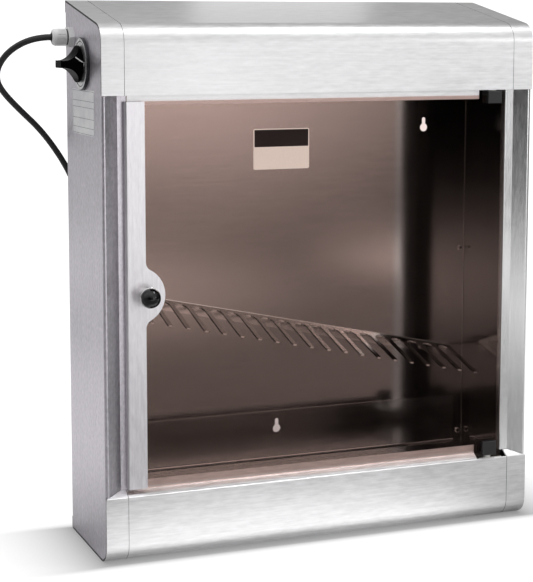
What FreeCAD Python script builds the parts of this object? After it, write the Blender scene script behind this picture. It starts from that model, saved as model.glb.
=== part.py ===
"""Wall cabinet that sterilizes kitchen knives with an ultraviolet lamp.

Folded stainless casing, a tinted door on two corner pivots, a comb rack for the
blades, a lamp with its gear behind the hood, a timer and a mains lead.

Millimetres. X runs to the right, Y to the back and Z up, seen from the front.
The origin is the middle of the casing's underside.
"""
import FreeCAD, Part
import math
import os

V = FreeCAD.Vector

# Casing
WIDTH = 516.0
DEPTH = 148.0
HEIGHT = 610.0            # the roof at the back
ROOF_FALL = 29.0          # how far the roof comes down towards the front
HOOD_FACE = 73.0          # height of the hood's front
FASCIA_EDGE = 73.5        # upper edge of the fascia's front
SHEET = 1.0               # casing sheet
CORNER_R = 22.0           # the hood's and the fascia's front corner
BEND_R = 2.0              # outside of a folded edge
END_WIDTH = 25.0          # end pieces of the hood and the fascia
SEAM = 0.5                # between an end piece and the sheet beside it
GROOVE = 1.1              # shadow line between an end piece and the side panel
LEG = 12.0                # an end piece's leg behind the side panel
TONGUE = 11.0             # an end piece's step under the sheet beside it
WALL_LIP = 18.0           # the side panels' lips that lie on the wall
EDGE_LIP = 14.0           # the same at the hood and the base
FIT = 0.3                 # gap where one folded edge ends at another

# Door frame
RECESS = 10.0             # the frame lies this far behind the front
SPLAY = 19.3              # width of the slanted face beside the frame
JAMB = 10.7               # width of the frame's uprights
JAMB_RETURN = 9.0         # the uprights' inward edge
FRONT_BEND_R = 3.0        # side panel's front edge
SILL_RISE = 6.5           # the sill slants up this far
SILL_LIP = 9.4            # upstand behind the door's lower edge
HEAD_LIP = 10.6           # downstand behind the door's upper edge
NOTCH = 34.0              # cut-out of both lips at the hinge
SILL_LEFT = 1.0           # what the cut-out leaves of the sill's slant

# Inside
FLOOR = 59.0              # top of the chamber's floor
UPSTAND = 58.5            # the floor's rise at the back
TRAY_R = 4.0
LINER_GAP = 7.5           # between the side panel and its liner
LINER_LIP = 12.0
CEILING_LIFT = 3.0        # the chamber's ceiling, above the hood's edge
TROUGH_RISE = 44.0        # the lamp trough, above the ceiling
TROUGH_BACK = 28.0        # the trough's rear wall, in front of the middle
TROUGH_LIP = 14.0
BACK_CLEAR = 1.5          # round the back panel's edge

# Keyholes
KEY_SPACING = 390.0
KEY_SHIFT = -3.0
KEY_DROP = 51.2           # the upper pair, below the hood's edge
KEY_LOW = 95.6
KEY_R = 5.0
KEY_NECK = 4.8
KEY_RISE = 10.0           # centre of the round hole to the neck's end

# Door
PANE = 5.0
DOOR_GAP = 1.5            # between the pane and the frame
LAP_LEFT = 4.5            # the door laps over the frame
LAP_TOP = 4.1
LAP_BOTTOM = 8.1
LATCH_GAP = 6.5           # open strip at the hinge side
STRIP = 22.0              # handle strip
STRIP_BACK = 17.5
STRIP_SHEET = 1.0
STRIP_R = 2.4
LOBE_R = 31.0
LOBE_REACH = 43.5         # from the strip's left edge to the lobe's tip
LOBE_FILLET = 10.0
KNOB_LIFT = 2.75          # above the middle of the front
KNOB_R = 10.7
KNOB_OFF = 18.0           # from the strip to the ball's centre
BALL_BACK = 1.9           # the ball reaches this far behind its centre
CUP_R = 11.4
CUP_DEPTH = 4.5
STEM_R = 5.0
FOOT_R = 7.5
KNOB_SCREW = 4.0

# Hinges
PIVOT_X = 209.0
CLIP_WIDTH = 18.0
CLIP_HEIGHT = 14.0
CLIP_FRONT = 4.0          # thickness of the clip's front wall
CLIP_BACK = 4.0
CLIP_PROUD = 5.0          # the clip stands past the pane's edge
PAD = 0.5
PIN_R = 2.0
PIN_RUN = 0.05            # radial clearance of a pivot pin
BUSH_R = 3.2
BUSH_FLANGE_R = 4.5
HINGE_GAP = 0.3
PLATE = 2.0               # hinge brackets

# Comb rack
FINGERS = 22
PITCH = 22.0
FINGER = 6.0
COMB_SHEET = 1.5
COMB_DEPTH = 90.0         # along the leaf, from the wall to the fingertips
COMB_SPINE = 12.0
COMB_FLANGE = 14.0
COMB_FALL = 12.5          # degrees, the leaf slopes down to the front
COMB_TILT = 12.17         # degrees, the whole comb falls to the right
COMB_LIFT = 173.8         # its middle above the floor
TIP_R = 2.0

# Lamp
LAMP_R = 12.8
LAMP_LENGTH = 437.0
LAMP_WALL = 0.9
CAP_R = 13.0
CAP_LENGTH = 9.0
LAMP_Y = -50.0
LAMP_DROP = 22.0          # the lamp's axis, below the trough
PIN_LENGTH = 7.0
LAMP_PIN_R = 1.2
LAMP_PIN_STEP = 6.35      # a pin's distance from the lamp's axis
HOLDER_THICK = 12.0
HOLDER_WIDTH = 24.0

# Gear above the ceiling
BALLAST_LENGTH = 150.0
BALLAST_CORE = 96.0
BALLAST_WIDTH = 41.0
BALLAST_HEIGHT = 28.0
BALLAST_X = 120.0
BALLAST_Y = 32.0
STARTER_R = 10.75
STARTER_LENGTH = 38.0
STARTER_X = -20.0
STARTER_Y = 32.0
BLOCK_LENGTH = 36.0
BLOCK_WIDTH = 20.0
BLOCK_HEIGHT = 15.0
BLOCK_X = -165.0
BLOCK_Y = 45.0

# Timer
TIMER_LIFT = 32.0         # above the hood's edge
BEZEL_R = 28.5
BEZEL_THICK = 3.0
BEZEL_RIM = 3.5
TIMER_BODY_R = 21.0
TIMER_BODY_DEPTH = 34.0
SHAFT_R = 3.0
SHAFT_RUN = 0.05
SKIRT_R = 20.0
SKIRT_THICK = 3.0
KNOB_TALL = 20.0
GRIP = 9.0
DIAL_GAP = 0.5

# Cable gland
GLAND_Y = 44.7
GLAND_LIFT = 60.6         # above the hood's edge
GLAND_BASE_R = 11.0
GLAND_BASE = 6.0
GLAND_SEAL = 1.5
GLAND_NUT_R = 9.5
GLAND_NUT = 16.0
GLAND_THREAD_R = 7.8
GLAND_INSIDE = 10.0
LOCKNUT = 5.0

# Door catch and switch
MAGNET_X = 12.0
MAGNET_Y = 12.0
MAGNET_Z = 40.0
STRIKE = 1.2
CATCH_GAP = 0.3
SWITCH_DROP = 40.0        # below the hood's edge
SWITCH_X = 14.0
SWITCH_Y = 20.0
SWITCH_TALL = 28.0
PLUNGER_R = 2.5
PLUNGER_RUN = 0.05
PLUNGER_OUT = 4.0

# Fasteners
SCREW_R = 2.0
SCREW_HEAD_R = 3.6
SCREW_HEAD = 2.2
SCREW_INSET = 12.0        # casing screws, from the ends of the liner
SCREW_LIFT = 20.0         # the middle ones, above the liner's middle
SMALL_SCREW_R = 1.5
SMALL_HEAD_R = 2.8
SMALL_HEAD = 1.7
RIVET_R = 1.6
RIVET_HEAD_R = 3.2
RIVET_HEAD = 0.9

# Mains lead
CORD_R = 3.5
COIL_R = 31.0             # innermost turn's centre line
COIL_STEP = 7.6
COIL_TURNS = 2            # in each of the two layers
COIL_X = 71.0
COIL_Y = 166.0
TIE = 0.8                 # the strap round the coil
TIE_WIDTH = 9.0
TIE_GAP = 0.3
TIE_LIFT = TIE + TIE_GAP  # how far the coil rests higher on the strap
PLUG_R = 18.5
PLUG_FACE = 16.0
PLUG_TAIL_R = 6.5
PLUG_LENGTH = 52.0
PLUG_PIN_R = 2.4
PLUG_PIN = 19.0
PLUG_PIN_STEP = 9.5
PLUG_RISE = 4.06           # the lead's rise to the plug, which lies on its rim
PLUG_RUN = 21.0           # the lead's straight end before the plug

# Places that follow from the sizes above
SIDE = WIDTH / 2
FRONT = -DEPTH / 2
BACK = DEPTH / 2
ROOF_FRONT = HEIGHT - ROOF_FALL
HOOD_EDGE = ROOF_FRONT - HOOD_FACE
CEILING = HOOD_EDGE + CEILING_LIFT
TROUGH_TOP = CEILING + TROUGH_RISE
KEY_HIGH = HOOD_EDGE - KEY_DROP
KNOB_HEIGHT = (HOOD_EDGE + FASCIA_EDGE) / 2 + KNOB_LIFT
COMB_HEIGHT = FLOOR + COMB_LIFT
LAMP_Z = TROUGH_TOP - LAMP_DROP
TIMER_Z = HOOD_EDGE + TIMER_LIFT
GLAND_Z = HOOD_EDGE + GLAND_LIFT
SWITCH_Z = HOOD_EDGE - SWITCH_DROP
FRAME = FRONT + RECESS
SIDE_IN = SIDE - SHEET
OPEN_X = SIDE - SPLAY - JAMB
SILL_TOP = FASCIA_EDGE + SILL_RISE
OPEN_LOW = SILL_TOP + SILL_LIP
OPEN_HIGH = HOOD_EDGE - HEAD_LIP
MAIN_X = SIDE - END_WIDTH - SEAM / 2
PANEL_BACK = BACK - SHEET
PANEL_FRONT = PANEL_BACK - SHEET
LINER_X = SIDE_IN - LINER_GAP
NOTCH_X = OPEN_X - NOTCH
DOOR_LEFT = -OPEN_X - LAP_LEFT
DOOR_RIGHT = OPEN_X - LATCH_GAP
DOOR_LOW = OPEN_LOW - LAP_BOTTOM
DOOR_HIGH = OPEN_HIGH + LAP_TOP
PANE_BACK = FRAME - DOOR_GAP
PANE_FRONT = PANE_BACK - PANE
PIVOT_Y = (PANE_BACK + PANE_FRONT) / 2
STRIP_FRONT = PANE_FRONT - STRIP_SHEET
STRIP_REAR = PANE_BACK + STRIP_SHEET
KNOB_X = DOOR_LEFT + LOBE_REACH / 2
TROUGH_WALL = -TROUGH_BACK
TIMER_Y = 0.0


# Shaping helpers

def place(plane, u, v, w=0.0):
    """A point from two profile coordinates and the one across the profile."""
    if plane == "x":
        return V(w, u, v)
    if plane == "y":
        return V(u, w, v)
    return V(u, v, w)


def unit(a, b):
    length = math.hypot(b[0] - a[0], b[1] - a[1])
    return (b[0] - a[0]) / length, (b[1] - a[1]) / length


def corner(before, here, after, radius):
    """Start, middle and end of the arc that rounds a corner."""
    ax, ay = unit(here, before)
    bx, by = unit(here, after)
    half = math.acos(max(-1.0, min(1.0, ax * bx + ay * by))) / 2
    reach = radius / math.tan(half)
    mx, my = unit((0, 0), (ax + bx, ay + by))
    away = radius / math.sin(half) - radius
    start = (here[0] + ax * reach, here[1] + ay * reach)
    middle = (here[0] + mx * away, here[1] + my * away)
    end = (here[0] + bx * reach, here[1] + by * reach)
    return start, middle, end


def outline(points, radii, plane, w):
    """A closed wire through the points, with its corners rounded."""
    count = len(points)
    stops = []
    edges = []
    for i in range(count):
        if radii[i] > 0.01:
            arc = corner(points[i - 1], points[i], points[(i + 1) % count], radii[i])
            stops.append((arc[0], arc[2]))
            edges.append(Part.Arc(*[place(plane, *p, w) for p in arc]).toShape())
        else:
            stops.append((points[i], points[i]))
    for i in range(count):
        a = stops[i][1]
        b = stops[(i + 1) % count][0]
        if math.hypot(b[0] - a[0], b[1] - a[1]) > 1e-6:
            edges.append(Part.LineSegment(place(plane, *a, w), place(plane, *b, w)).toShape())
    return Part.Wire(Part.__sortEdges__(edges))


def prism(points, radii, plane, low, high):
    """A rounded outline carried from one place to another across its plane."""
    if not radii:
        radii = [0] * len(points)
    face = Part.Face(outline(points, radii, plane, low))
    return face.extrude(place(plane, 0, 0, high - low))


def shifted(points, radii, distance):
    """An open path moved to its left, with the radii that keep it parallel."""
    lines = []
    for a, b in zip(points, points[1:]):
        dx, dy = unit(a, b)
        lines.append(((a[0] - dy * distance, a[1] + dx * distance), (dx, dy)))
    moved = [lines[0][0]]
    changed = [0]
    for i in range(1, len(lines)):
        (px, py), (dx, dy) = lines[i - 1]
        (qx, qy), (ex, ey) = lines[i]
        turn = dx * ey - dy * ex
        along = ((qx - px) * ey - (qy - py) * ex) / turn
        moved.append((px + dx * along, py + dy * along))
        inner = radii[i] - distance if turn > 0 else radii[i] + distance
        changed.append(max(inner, 0))
    dx, dy = lines[-1][1]
    moved.append((points[-1][0] - dy * distance, points[-1][1] + dx * distance))
    changed.append(0)
    return moved, changed


def fold(points, radii, thick, plane, low, high):
    """Folded sheet: the points are its outer face, the sheet lies to their left."""
    inner, inner_radii = shifted(points, radii, thick)
    ring = list(points) + inner[::-1]
    ring_radii = list(radii) + inner_radii[::-1]
    return prism(ring, ring_radii, plane, low, high)


def box(x, y, z):
    """A block from its limits along X, Y and Z."""
    low = V(min(x), min(y), min(z))
    return Part.makeBox(max(x) - low.x, max(y) - low.y, max(z) - low.z, low)


def rod(start, direction, length, radius):
    return Part.makeCylinder(radius, length, start, direction)


def turned(points, radii, start, direction):
    """A profile of (along, radius) points turned about an axis."""
    face = Part.Face(outline(points, radii or [0] * len(points), "z", 0))
    solid = face.revolve(V(0, 0, 0), V(1, 0, 0), 360)
    solid.Placement = FreeCAD.Placement(start, FreeCAD.Rotation(V(1, 0, 0), direction))
    return solid


def mirrored(shape):
    return shape.mirror(V(0, 0, 0), V(1, 0, 0))


def joined(shapes):
    return shapes[0].multiFuse(shapes[1:]).removeSplitter()


def eased(shape, radius, wanted):
    """Round the edges for which wanted(edge) is true."""
    edges = [edge for edge in shape.Edges if wanted(edge)]
    return shape.makeFillet(radius, edges)


def along(edge, axis):
    """Whether a straight edge runs along an axis."""
    if edge.Curve.TypeId != "Part::GeomLine":
        return False
    way = edge.Curve.Direction
    return abs(getattr(way, axis)) > 0.999


def save(name, shape):
    solids = shape.Solids
    good = all(solid.isValid() for solid in solids)
    shape.exportStep("parts/%s.step" % name)
    print("%-22s solids %3d  volume %10.1f  valid %s" % (name, len(solids), shape.Volume, good))


# Small fasteners

def dome_screw(point, direction, length, radius, head_r, head):
    """A pan-head screw: the point is under the head, the shank runs along."""
    profile = [(-head, 0), (-head, head_r), (0, head_r), (0, radius), (length, radius), (length, 0)]
    return turned(profile, [0, head * 0.6, 0, 0, 0, 0], point, direction)


def rivet(point, direction, grip):
    """A rivet with a dome on both sides of the sheets that it holds."""
    profile = [(-RIVET_HEAD, 0), (-RIVET_HEAD, RIVET_HEAD_R), (0, RIVET_HEAD_R), (0, RIVET_R),
               (grip, RIVET_R), (grip, RIVET_HEAD_R), (grip + RIVET_HEAD, RIVET_HEAD_R),
               (grip + RIVET_HEAD, 0)]
    ease = RIVET_HEAD * 0.6
    return turned(profile, [0, ease, 0, 0, 0, 0, ease, 0], point, direction)


def casing_screw_places():
    x = LINER_X - LINER_LIP / 2
    heights = [FLOOR + SCREW_INSET, (FLOOR + CEILING) / 2 + SCREW_LIFT, CEILING - SCREW_INSET]
    return [V(side * x, PANEL_FRONT - SHEET, z) for side in (-1, 1) for z in heights]


# Casing

def roof_at(y):
    return HEIGHT - ROOF_FALL * (BACK - y) / DEPTH


def hood_path(lip):
    """Outer face of the hood, from the wall over the roof and down to the door."""
    points = [(BACK, HEIGHT - EDGE_LIP), (BACK, HEIGHT), (FRONT, ROOF_FRONT), (FRONT, HOOD_EDGE)]
    radii = [0, BEND_R, CORNER_R, 0]
    if lip:
        points += [(FRAME, HOOD_EDGE), (FRAME, OPEN_HIGH)]
        radii = [0, BEND_R, CORNER_R, BEND_R, SHEET * 0.6, 0]
    return points, radii


def base_path(lip):
    """Outer face of the base, from the door down the fascia and back to the wall."""
    points = [(FRONT, FASCIA_EDGE), (FRONT, 0), (BACK, 0), (BACK, EDGE_LIP)]
    radii = [0, CORNER_R, BEND_R, 0]
    if lip:
        points = [(FRAME, OPEN_LOW), (FRAME, SILL_TOP)] + points
        radii = [0, SHEET * 0.6, BEND_R, CORNER_R, BEND_R, 0]
    return points, radii


def soffit(low, high):
    """The hood's turned-in lower edge."""
    path = [(FRONT, HOOD_EDGE + 3 * BEND_R), (FRONT, HOOD_EDGE), (FRAME + SHEET, HOOD_EDGE)]
    return fold(path, [0, BEND_R, 0], SHEET, "x", low, high)


def sill(low, high):
    """The fascia's slanted upper edge."""
    path = [(FRAME, SILL_TOP), (FRONT, FASCIA_EDGE), (FRONT, FASCIA_EDGE - 3 * BEND_R)]
    return fold(path, [0, BEND_R, 0], SHEET, "x", low, high)


def end_piece(path, radii):
    """The left end of the hood or the base: its strip, the leg and the step."""
    strip = fold(path, radii, SHEET, "x", -SIDE, -SIDE + END_WIDTH - SEAM / 2)
    leg = fold(path, radii, LEG, "x", -SIDE_IN, -SIDE_IN + SHEET)
    under, under_radii = shifted(path, radii, SHEET)
    seam = -SIDE + END_WIDTH
    step = fold(under, under_radii, SHEET, "x", seam - 4 * SHEET, seam + TONGUE)
    step = step.cut(box((-SIDE, 0), (PANEL_FRONT - FIT, BACK), (0, HEIGHT)))
    step = step.cut(box((-SIDE, 0), (FRONT, FRAME), (FASCIA_EDGE - 3 * SHEET, HOOD_EDGE + 3 * SHEET)))
    return [strip, leg, step]


def hood():
    path, radii = hood_path(True)
    lip_left = -OPEN_X + FIT
    with_lip = fold(path, radii, SHEET, "x", lip_left, NOTCH_X)
    path, radii = hood_path(False)
    plain = fold(path, radii, SHEET, "x", -MAIN_X, MAIN_X)
    shell = joined([with_lip, plain, soffit(-MAIN_X, MAIN_X)])
    return shell.cut(rod(V(PIVOT_X, PIVOT_Y, HOOD_EDGE - 1), V(0, 0, 1), 4, BUSH_R))


def hood_end():
    path, radii = hood_path(False)
    inner = -SIDE_IN + SHEET / 2
    return joined(end_piece(path, radii) + [soffit(inner, -SIDE + END_WIDTH - SEAM / 2)])


def base():
    path, radii = base_path(True)
    with_lip = fold(path, radii, SHEET, "x", -OPEN_X + FIT, NOTCH_X)
    path, radii = base_path(False)
    plain = fold(path, radii, SHEET, "x", -MAIN_X, MAIN_X)
    shell = joined([with_lip, plain, sill(-MAIN_X, MAIN_X)])
    clear = box((NOTCH_X, MAIN_X - FIT), (FRONT + SILL_LEFT, FRAME + 2),
                (FASCIA_EDGE - 2 * BEND_R, OPEN_LOW))
    return shell.cut(clear)


def base_end():
    path, radii = base_path(False)
    inner = -SIDE_IN + SHEET / 2
    return joined(end_piece(path, radii) + [sill(inner, -SIDE + END_WIDTH - SEAM / 2)])


def side_skin():
    """The left side panel's flat face, drawn in from the hood and the fascia."""
    inset = SHEET + GROOVE
    front = FRONT + inset
    ends = roof_at(front) - inset
    points = [(BACK, inset), (BACK, HEIGHT - inset), (front, ends), (front, inset)]
    radius = CORNER_R - inset
    skin = prism(points, [0, 0, radius, radius], "x", -SIDE, -SIDE_IN)
    bend = FRONT_BEND_R + 1
    middle = box((-SIDE - 1, -SIDE_IN + 1), (FRONT, FRONT + bend), (FASCIA_EDGE, HOOD_EDGE - FIT))
    lip_z = EDGE_LIP + FIT
    low = box((-SIDE - 1, -SIDE_IN + 1), (BACK - inset, BACK + 1), (0, lip_z))
    high = box((-SIDE - 1, -SIDE_IN + 1), (BACK - inset, BACK + 1), (HEIGHT - lip_z, HEIGHT))
    return skin.cut(middle).cut(low).cut(high)


def side_jamb():
    """The left side panel's front: its bend, the slanted face and the upright."""
    path = [(-SIDE, FRONT + 3 * FRONT_BEND_R), (-SIDE, FRONT), (-SIDE + SPLAY, FRAME),
            (-OPEN_X, FRAME), (-OPEN_X, FRAME + JAMB_RETURN)]
    radii = [0, FRONT_BEND_R, SHEET * 0.6, SHEET * 1.4, 0]
    jamb = fold(path, radii, SHEET, "z", FASCIA_EDGE, HOOD_EDGE - FIT)
    slant = [(FRONT - 1, FASCIA_EDGE - 1), (FRONT - 1, FASCIA_EDGE + FIT), (FRONT, FASCIA_EDGE + FIT),
             (FRAME, SILL_TOP + FIT), (BACK, SILL_TOP + FIT), (BACK, FASCIA_EDGE - 1)]
    below = prism(slant, [], "x", -SIDE_IN, 0)
    return jamb.cut(below)


def side_panel():
    lip_path = [(-SIDE + WALL_LIP, BACK), (-SIDE, BACK), (-SIDE, BACK - 3 * FRONT_BEND_R)]
    lip = fold(lip_path, [0, BEND_R, 0], SHEET, "z", EDGE_LIP + FIT, HEIGHT - EDGE_LIP - FIT)
    rounding = box((-SIDE - 1, -SIDE_IN), (BACK - 2 * FRONT_BEND_R, BACK + 1),
                   (EDGE_LIP + FIT, HEIGHT - EDGE_LIP - FIT))
    return joined([side_skin().cut(rounding), lip, side_jamb()])


def left_side():
    """The left panel has the timer's and the gland's holes."""
    panel = side_panel()
    out = V(1, 0, 0)
    panel = panel.cut(rod(V(-SIDE - 1, TIMER_Y, TIMER_Z), out, 3, SHAFT_R + 1.5))
    panel = panel.cut(rod(V(-SIDE - 1, GLAND_Y, GLAND_Z), out, 3, GLAND_THREAD_R))
    for spot in timer_screw_places():
        panel = panel.cut(rod(spot - out, out, 3, SMALL_SCREW_R))
    for hole in (magnet_screw_places() + switch_screw_places()):
        panel = panel.cut(rod(hole - V(2, 0, 0), out, 4, SMALL_SCREW_R))
    return panel.cut(casing_holes())


def right_side():
    return mirrored(side_panel()).cut(casing_holes())


def casing_holes():
    return Part.makeCompound([rod(p - V(0, 1, 0), V(0, 1, 0), 6, SCREW_R) for p in casing_screw_places()])


def keyhole(x, z, y, depth):
    """A round hole with a narrow neck above it, for a screw's head to hang in."""
    round_part = rod(V(x, y, z), V(0, 1, 0), depth, KEY_R)
    half = KEY_NECK / 2
    neck = box((x - half, x + half), (y, y + depth), (z, z + KEY_RISE))
    tip = rod(V(x, y, z + KEY_RISE), V(0, 1, 0), depth, half)
    return joined([round_part, neck, tip])


def keyholes(y, depth):
    half = KEY_SPACING / 2
    spots = [(KEY_SHIFT - half, KEY_HIGH), (KEY_SHIFT + half, KEY_HIGH), (KEY_SHIFT, KEY_LOW)]
    return Part.makeCompound([keyhole(x, z, y, depth) for x, z in spots])


def back_panel():
    top = roof_at(PANEL_FRONT) - SHEET - BACK_CLEAR
    side = SIDE_IN - BACK_CLEAR
    plate = box((-side, side), (PANEL_FRONT, PANEL_BACK), (SHEET + BACK_CLEAR, top))
    plate = plate.cut(keyholes(PANEL_FRONT - 1, 4)).cut(casing_holes())
    holes = [rod(p - V(0, 1, 0), V(0, 1, 0), 6, RIVET_R) for p in comb_rivet_places()]
    return plate.cut(Part.makeCompound(holes))


def floor_tray():
    """The chamber's floor, turned up behind the sill and against the back."""
    front = FRAME + SHEET
    path = [(front, OPEN_LOW - 2 * FIT), (front, FLOOR - SHEET), (PANEL_FRONT, FLOOR - SHEET),
            (PANEL_FRONT, FLOOR + UPSTAND)]
    side = LINER_X + SHEET
    tray = fold(path, [0, TRAY_R, TRAY_R, 0], SHEET, "x", -side, side)
    corners = []
    for way in (-1, 1):
        rear = (PANEL_FRONT - TRAY_R - FIT, PANEL_FRONT + 1)
        ahead = (front - 1, front + TRAY_R + FIT)
        corners.append(box((way * (LINER_X - LINER_LIP - FIT), way * (side + 1)), rear,
                           (FLOOR, FLOOR + UPSTAND + 1)))
        corners.append(box((way * (OPEN_X - SHEET - FIT), way * (side + 1)), ahead, (FLOOR, OPEN_LOW)))
    corners.append(box((NOTCH_X, side + 1), (front - 1, front + 2 * SHEET), (bracket_low() - FIT, OPEN_LOW)))
    return tray.cut(Part.makeCompound(corners)).cut(keyholes(PANEL_FRONT - 3, 4))


def liner():
    """Left side wall of the chamber, a channel from the frame to the back."""
    wall = -LINER_X
    front = FRAME + SHEET
    path = [(wall + LINER_LIP, PANEL_FRONT), (wall - SHEET, PANEL_FRONT), (wall - SHEET, front),
            (-OPEN_X - 2 * SHEET - FIT, front)]
    sheet = fold(path, [0, BEND_R, BEND_R, 0], SHEET, "z", FLOOR, CEILING)
    return sheet.cut(casing_holes())


def lamp_trough():
    """The chamber's ceiling, stepped up behind the hood to hold the lamp."""
    front = FRONT + 2 * SHEET
    path = [(front, TROUGH_TOP + SHEET - TROUGH_LIP), (front, TROUGH_TOP), (TROUGH_WALL, TROUGH_TOP),
            (TROUGH_WALL, CEILING), (PANEL_FRONT, CEILING), (PANEL_FRONT, CEILING + TROUGH_LIP)]
    side = SIDE_IN - SHEET - FIT
    trough = fold(path, [0, SHEET, SHEET, BEND_R, BEND_R, 0], SHEET, "x", -side, side)
    step = SIDE - END_WIDTH - TONGUE - FIT
    for way in (-1, 1):
        trough = trough.cut(box((way * step, way * SIDE), (FRONT, front + FIT), (CEILING, HEIGHT)))
    holes = [rod(V(x, LAMP_Y, TROUGH_TOP - 1), V(0, 0, 1), 4, 3.5) for x in holder_places()]
    return trough.cut(Part.makeCompound(holes))


def casing_screws():
    length = 3 * SHEET
    made = [dome_screw(p, V(0, 1, 0), length, SCREW_R, SCREW_HEAD_R, SCREW_HEAD)
            for p in casing_screw_places()]
    return Part.makeCompound(made)


# Comb rack

def comb_frame(shape):
    """Carry a shape from the comb's own frame to its place on the back panel."""
    turn = FreeCAD.Rotation(V(0, 1, 0), COMB_TILT)
    shape.Placement = FreeCAD.Placement(V(0, PANEL_FRONT, COMB_HEIGHT), turn)
    return shape


def comb_length():
    return (FINGERS - 1) * PITCH + FINGER


def comb():
    """A slotted leaf with round slot ends, folded down against the back panel."""
    half = comb_length() / 2
    fall = math.radians(COMB_FALL)
    tip = (-COMB_DEPTH * math.cos(fall), -COMB_DEPTH * math.sin(fall))
    path = [(0, -COMB_FLANGE), (0, 0), tip]
    sheet = fold(path, [0, BEND_R, 0], COMB_SHEET, "x", -half, half)
    gap = PITCH - FINGER
    far = -COMB_DEPTH - 5
    slots = []
    for k in range(FINGERS - 1):
        x = -half + FINGER + gap / 2 + k * PITCH
        near = x - gap / 2
        ring = [(near, far), (near + gap, far), (near + gap, -COMB_SPINE), (near, -COMB_SPINE)]
        slots.append(prism(ring, [0, 0, gap * 0.497, gap * 0.497], "z", -8, 8))
    cutter = Part.makeCompound(slots)
    cutter.rotate(V(0, 0, 0), V(1, 0, 0), COMB_FALL)
    leaf = sheet.cut(cutter)
    leaf = eased(leaf, TIP_R, lambda e: fingertip_edge(e))
    leaf = leaf.cut(Part.makeCompound([rod(V(x, -5, -COMB_FLANGE * 0.62), V(0, 1, 0), 10, RIVET_R)
                                       for x in comb_rivet_line()]))
    return comb_frame(leaf)


def fingertip_edge(edge):
    """Short upright corners at the far end of the comb's fingers."""
    far = COMB_DEPTH * math.cos(math.radians(COMB_FALL))
    short = abs(edge.Length - COMB_SHEET) < 0.01
    return short and edge.BoundBox.YMin < -far + 2 and edge.BoundBox.XLength < 0.01


def comb_rivet_line():
    return [k * comb_length() * 0.42 for k in (-1, 0, 1)]


def comb_rivet_places():
    """Where the rivets leave the comb's flange at the back panel."""
    tilt = math.radians(COMB_TILT)
    down = COMB_FLANGE * 0.62
    spots = []
    for x in comb_rivet_line():
        px = x * math.cos(tilt) - down * math.sin(tilt)
        pz = COMB_HEIGHT - x * math.sin(tilt) - down * math.cos(tilt)
        spots.append(V(px, PANEL_FRONT - COMB_SHEET, pz))
    return spots


def comb_rivets():
    return Part.makeCompound([rivet(p, V(0, 1, 0), COMB_SHEET + SHEET) for p in comb_rivet_places()])


# Lamp and its gear

def holder_places():
    reach = LAMP_LENGTH / 2 + HOLDER_THICK / 2
    return [-reach, reach]


def lamp_tube():
    """A sealed glass tube, hollow inside."""
    half = LAMP_LENGTH / 2 - CAP_LENGTH
    glass = rod(V(-half, LAMP_Y, LAMP_Z), V(1, 0, 0), 2 * half, LAMP_R)
    inside = half - LAMP_WALL
    return glass.cut(rod(V(-inside, LAMP_Y, LAMP_Z), V(1, 0, 0), 2 * inside, LAMP_R - LAMP_WALL))


def lamp_cap(side):
    """A metal end cap with its two pins."""
    end = LAMP_LENGTH / 2
    profile = [(end - CAP_LENGTH, 0), (end - CAP_LENGTH, CAP_R), (end, CAP_R), (end, 0)]
    cap = turned(profile, [0, 0, 1.5, 0], V(0, LAMP_Y, LAMP_Z), V(side, 0, 0))
    pins = [rod(V(side * end, LAMP_Y, LAMP_Z + dz), V(side, 0, 0), PIN_LENGTH, LAMP_PIN_R)
            for dz in (-LAMP_PIN_STEP, LAMP_PIN_STEP)]
    return joined([cap] + pins)


def lamp_holder(side):
    """A holder that hangs from the trough, with slots for the lamp's pins."""
    near = side * LAMP_LENGTH / 2
    far = near + side * HOLDER_THICK
    half = HOLDER_WIDTH / 2
    low = LAMP_Z - half
    top = TROUGH_TOP
    ring = [(LAMP_Y - half, low), (LAMP_Y + half, low), (LAMP_Y + half, top), (LAMP_Y - half, top)]
    body = prism(ring, [half * 0.9, half * 0.9, 0, 0], "x", min(near, far), max(near, far))
    slots = []
    for dz in (-LAMP_PIN_STEP, LAMP_PIN_STEP):
        mouth = V(near - side, LAMP_Y, LAMP_Z + dz)
        slots.append(rod(mouth, V(side, 0, 0), PIN_LENGTH + 2, LAMP_PIN_R + 0.05))
    return body.cut(Part.makeCompound(slots))


def ballast():
    """Laminated core with its winding, on a foot plate that lies on the ceiling."""
    base_z = CEILING + SHEET
    half = BALLAST_LENGTH / 2
    core = BALLAST_CORE / 2
    top = base_z + BALLAST_HEIGHT
    y = (BALLAST_Y - BALLAST_WIDTH / 2, BALLAST_Y + BALLAST_WIDTH / 2)
    body = box((BALLAST_X - core, BALLAST_X + core), y, (base_z, top))
    body = eased(body, 2.0, lambda e: along(e, "x") and e.BoundBox.ZMin > top - 1)
    feet = box((BALLAST_X - half, BALLAST_X + half), (y[0] + 4, y[1] - 4), (base_z, base_z + 1.5))
    coil = box((BALLAST_X - core - 8, BALLAST_X + core + 8), (y[0] + 8, y[1] - 8), (base_z, top - 5))
    coil = eased(coil, 4.0, lambda e: along(e, "z"))
    return joined([body, feet, coil])


def starter_base():
    base_z = CEILING + SHEET
    ring = [(STARTER_X - 20, STARTER_Y - 13), (STARTER_X + 20, STARTER_Y - 13),
            (STARTER_X + 20, STARTER_Y + 13), (STARTER_X - 20, STARTER_Y + 13)]
    foot = prism(ring, [4, 4, 4, 4], "z", base_z, base_z + 5)
    collar = rod(V(STARTER_X, STARTER_Y, base_z), V(0, 0, 1), 14, STARTER_R + 2.5)
    well = rod(V(STARTER_X, STARTER_Y, base_z + 5), V(0, 0, 1), 12, STARTER_R + 0.1)
    return joined([foot, collar]).cut(well)


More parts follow.
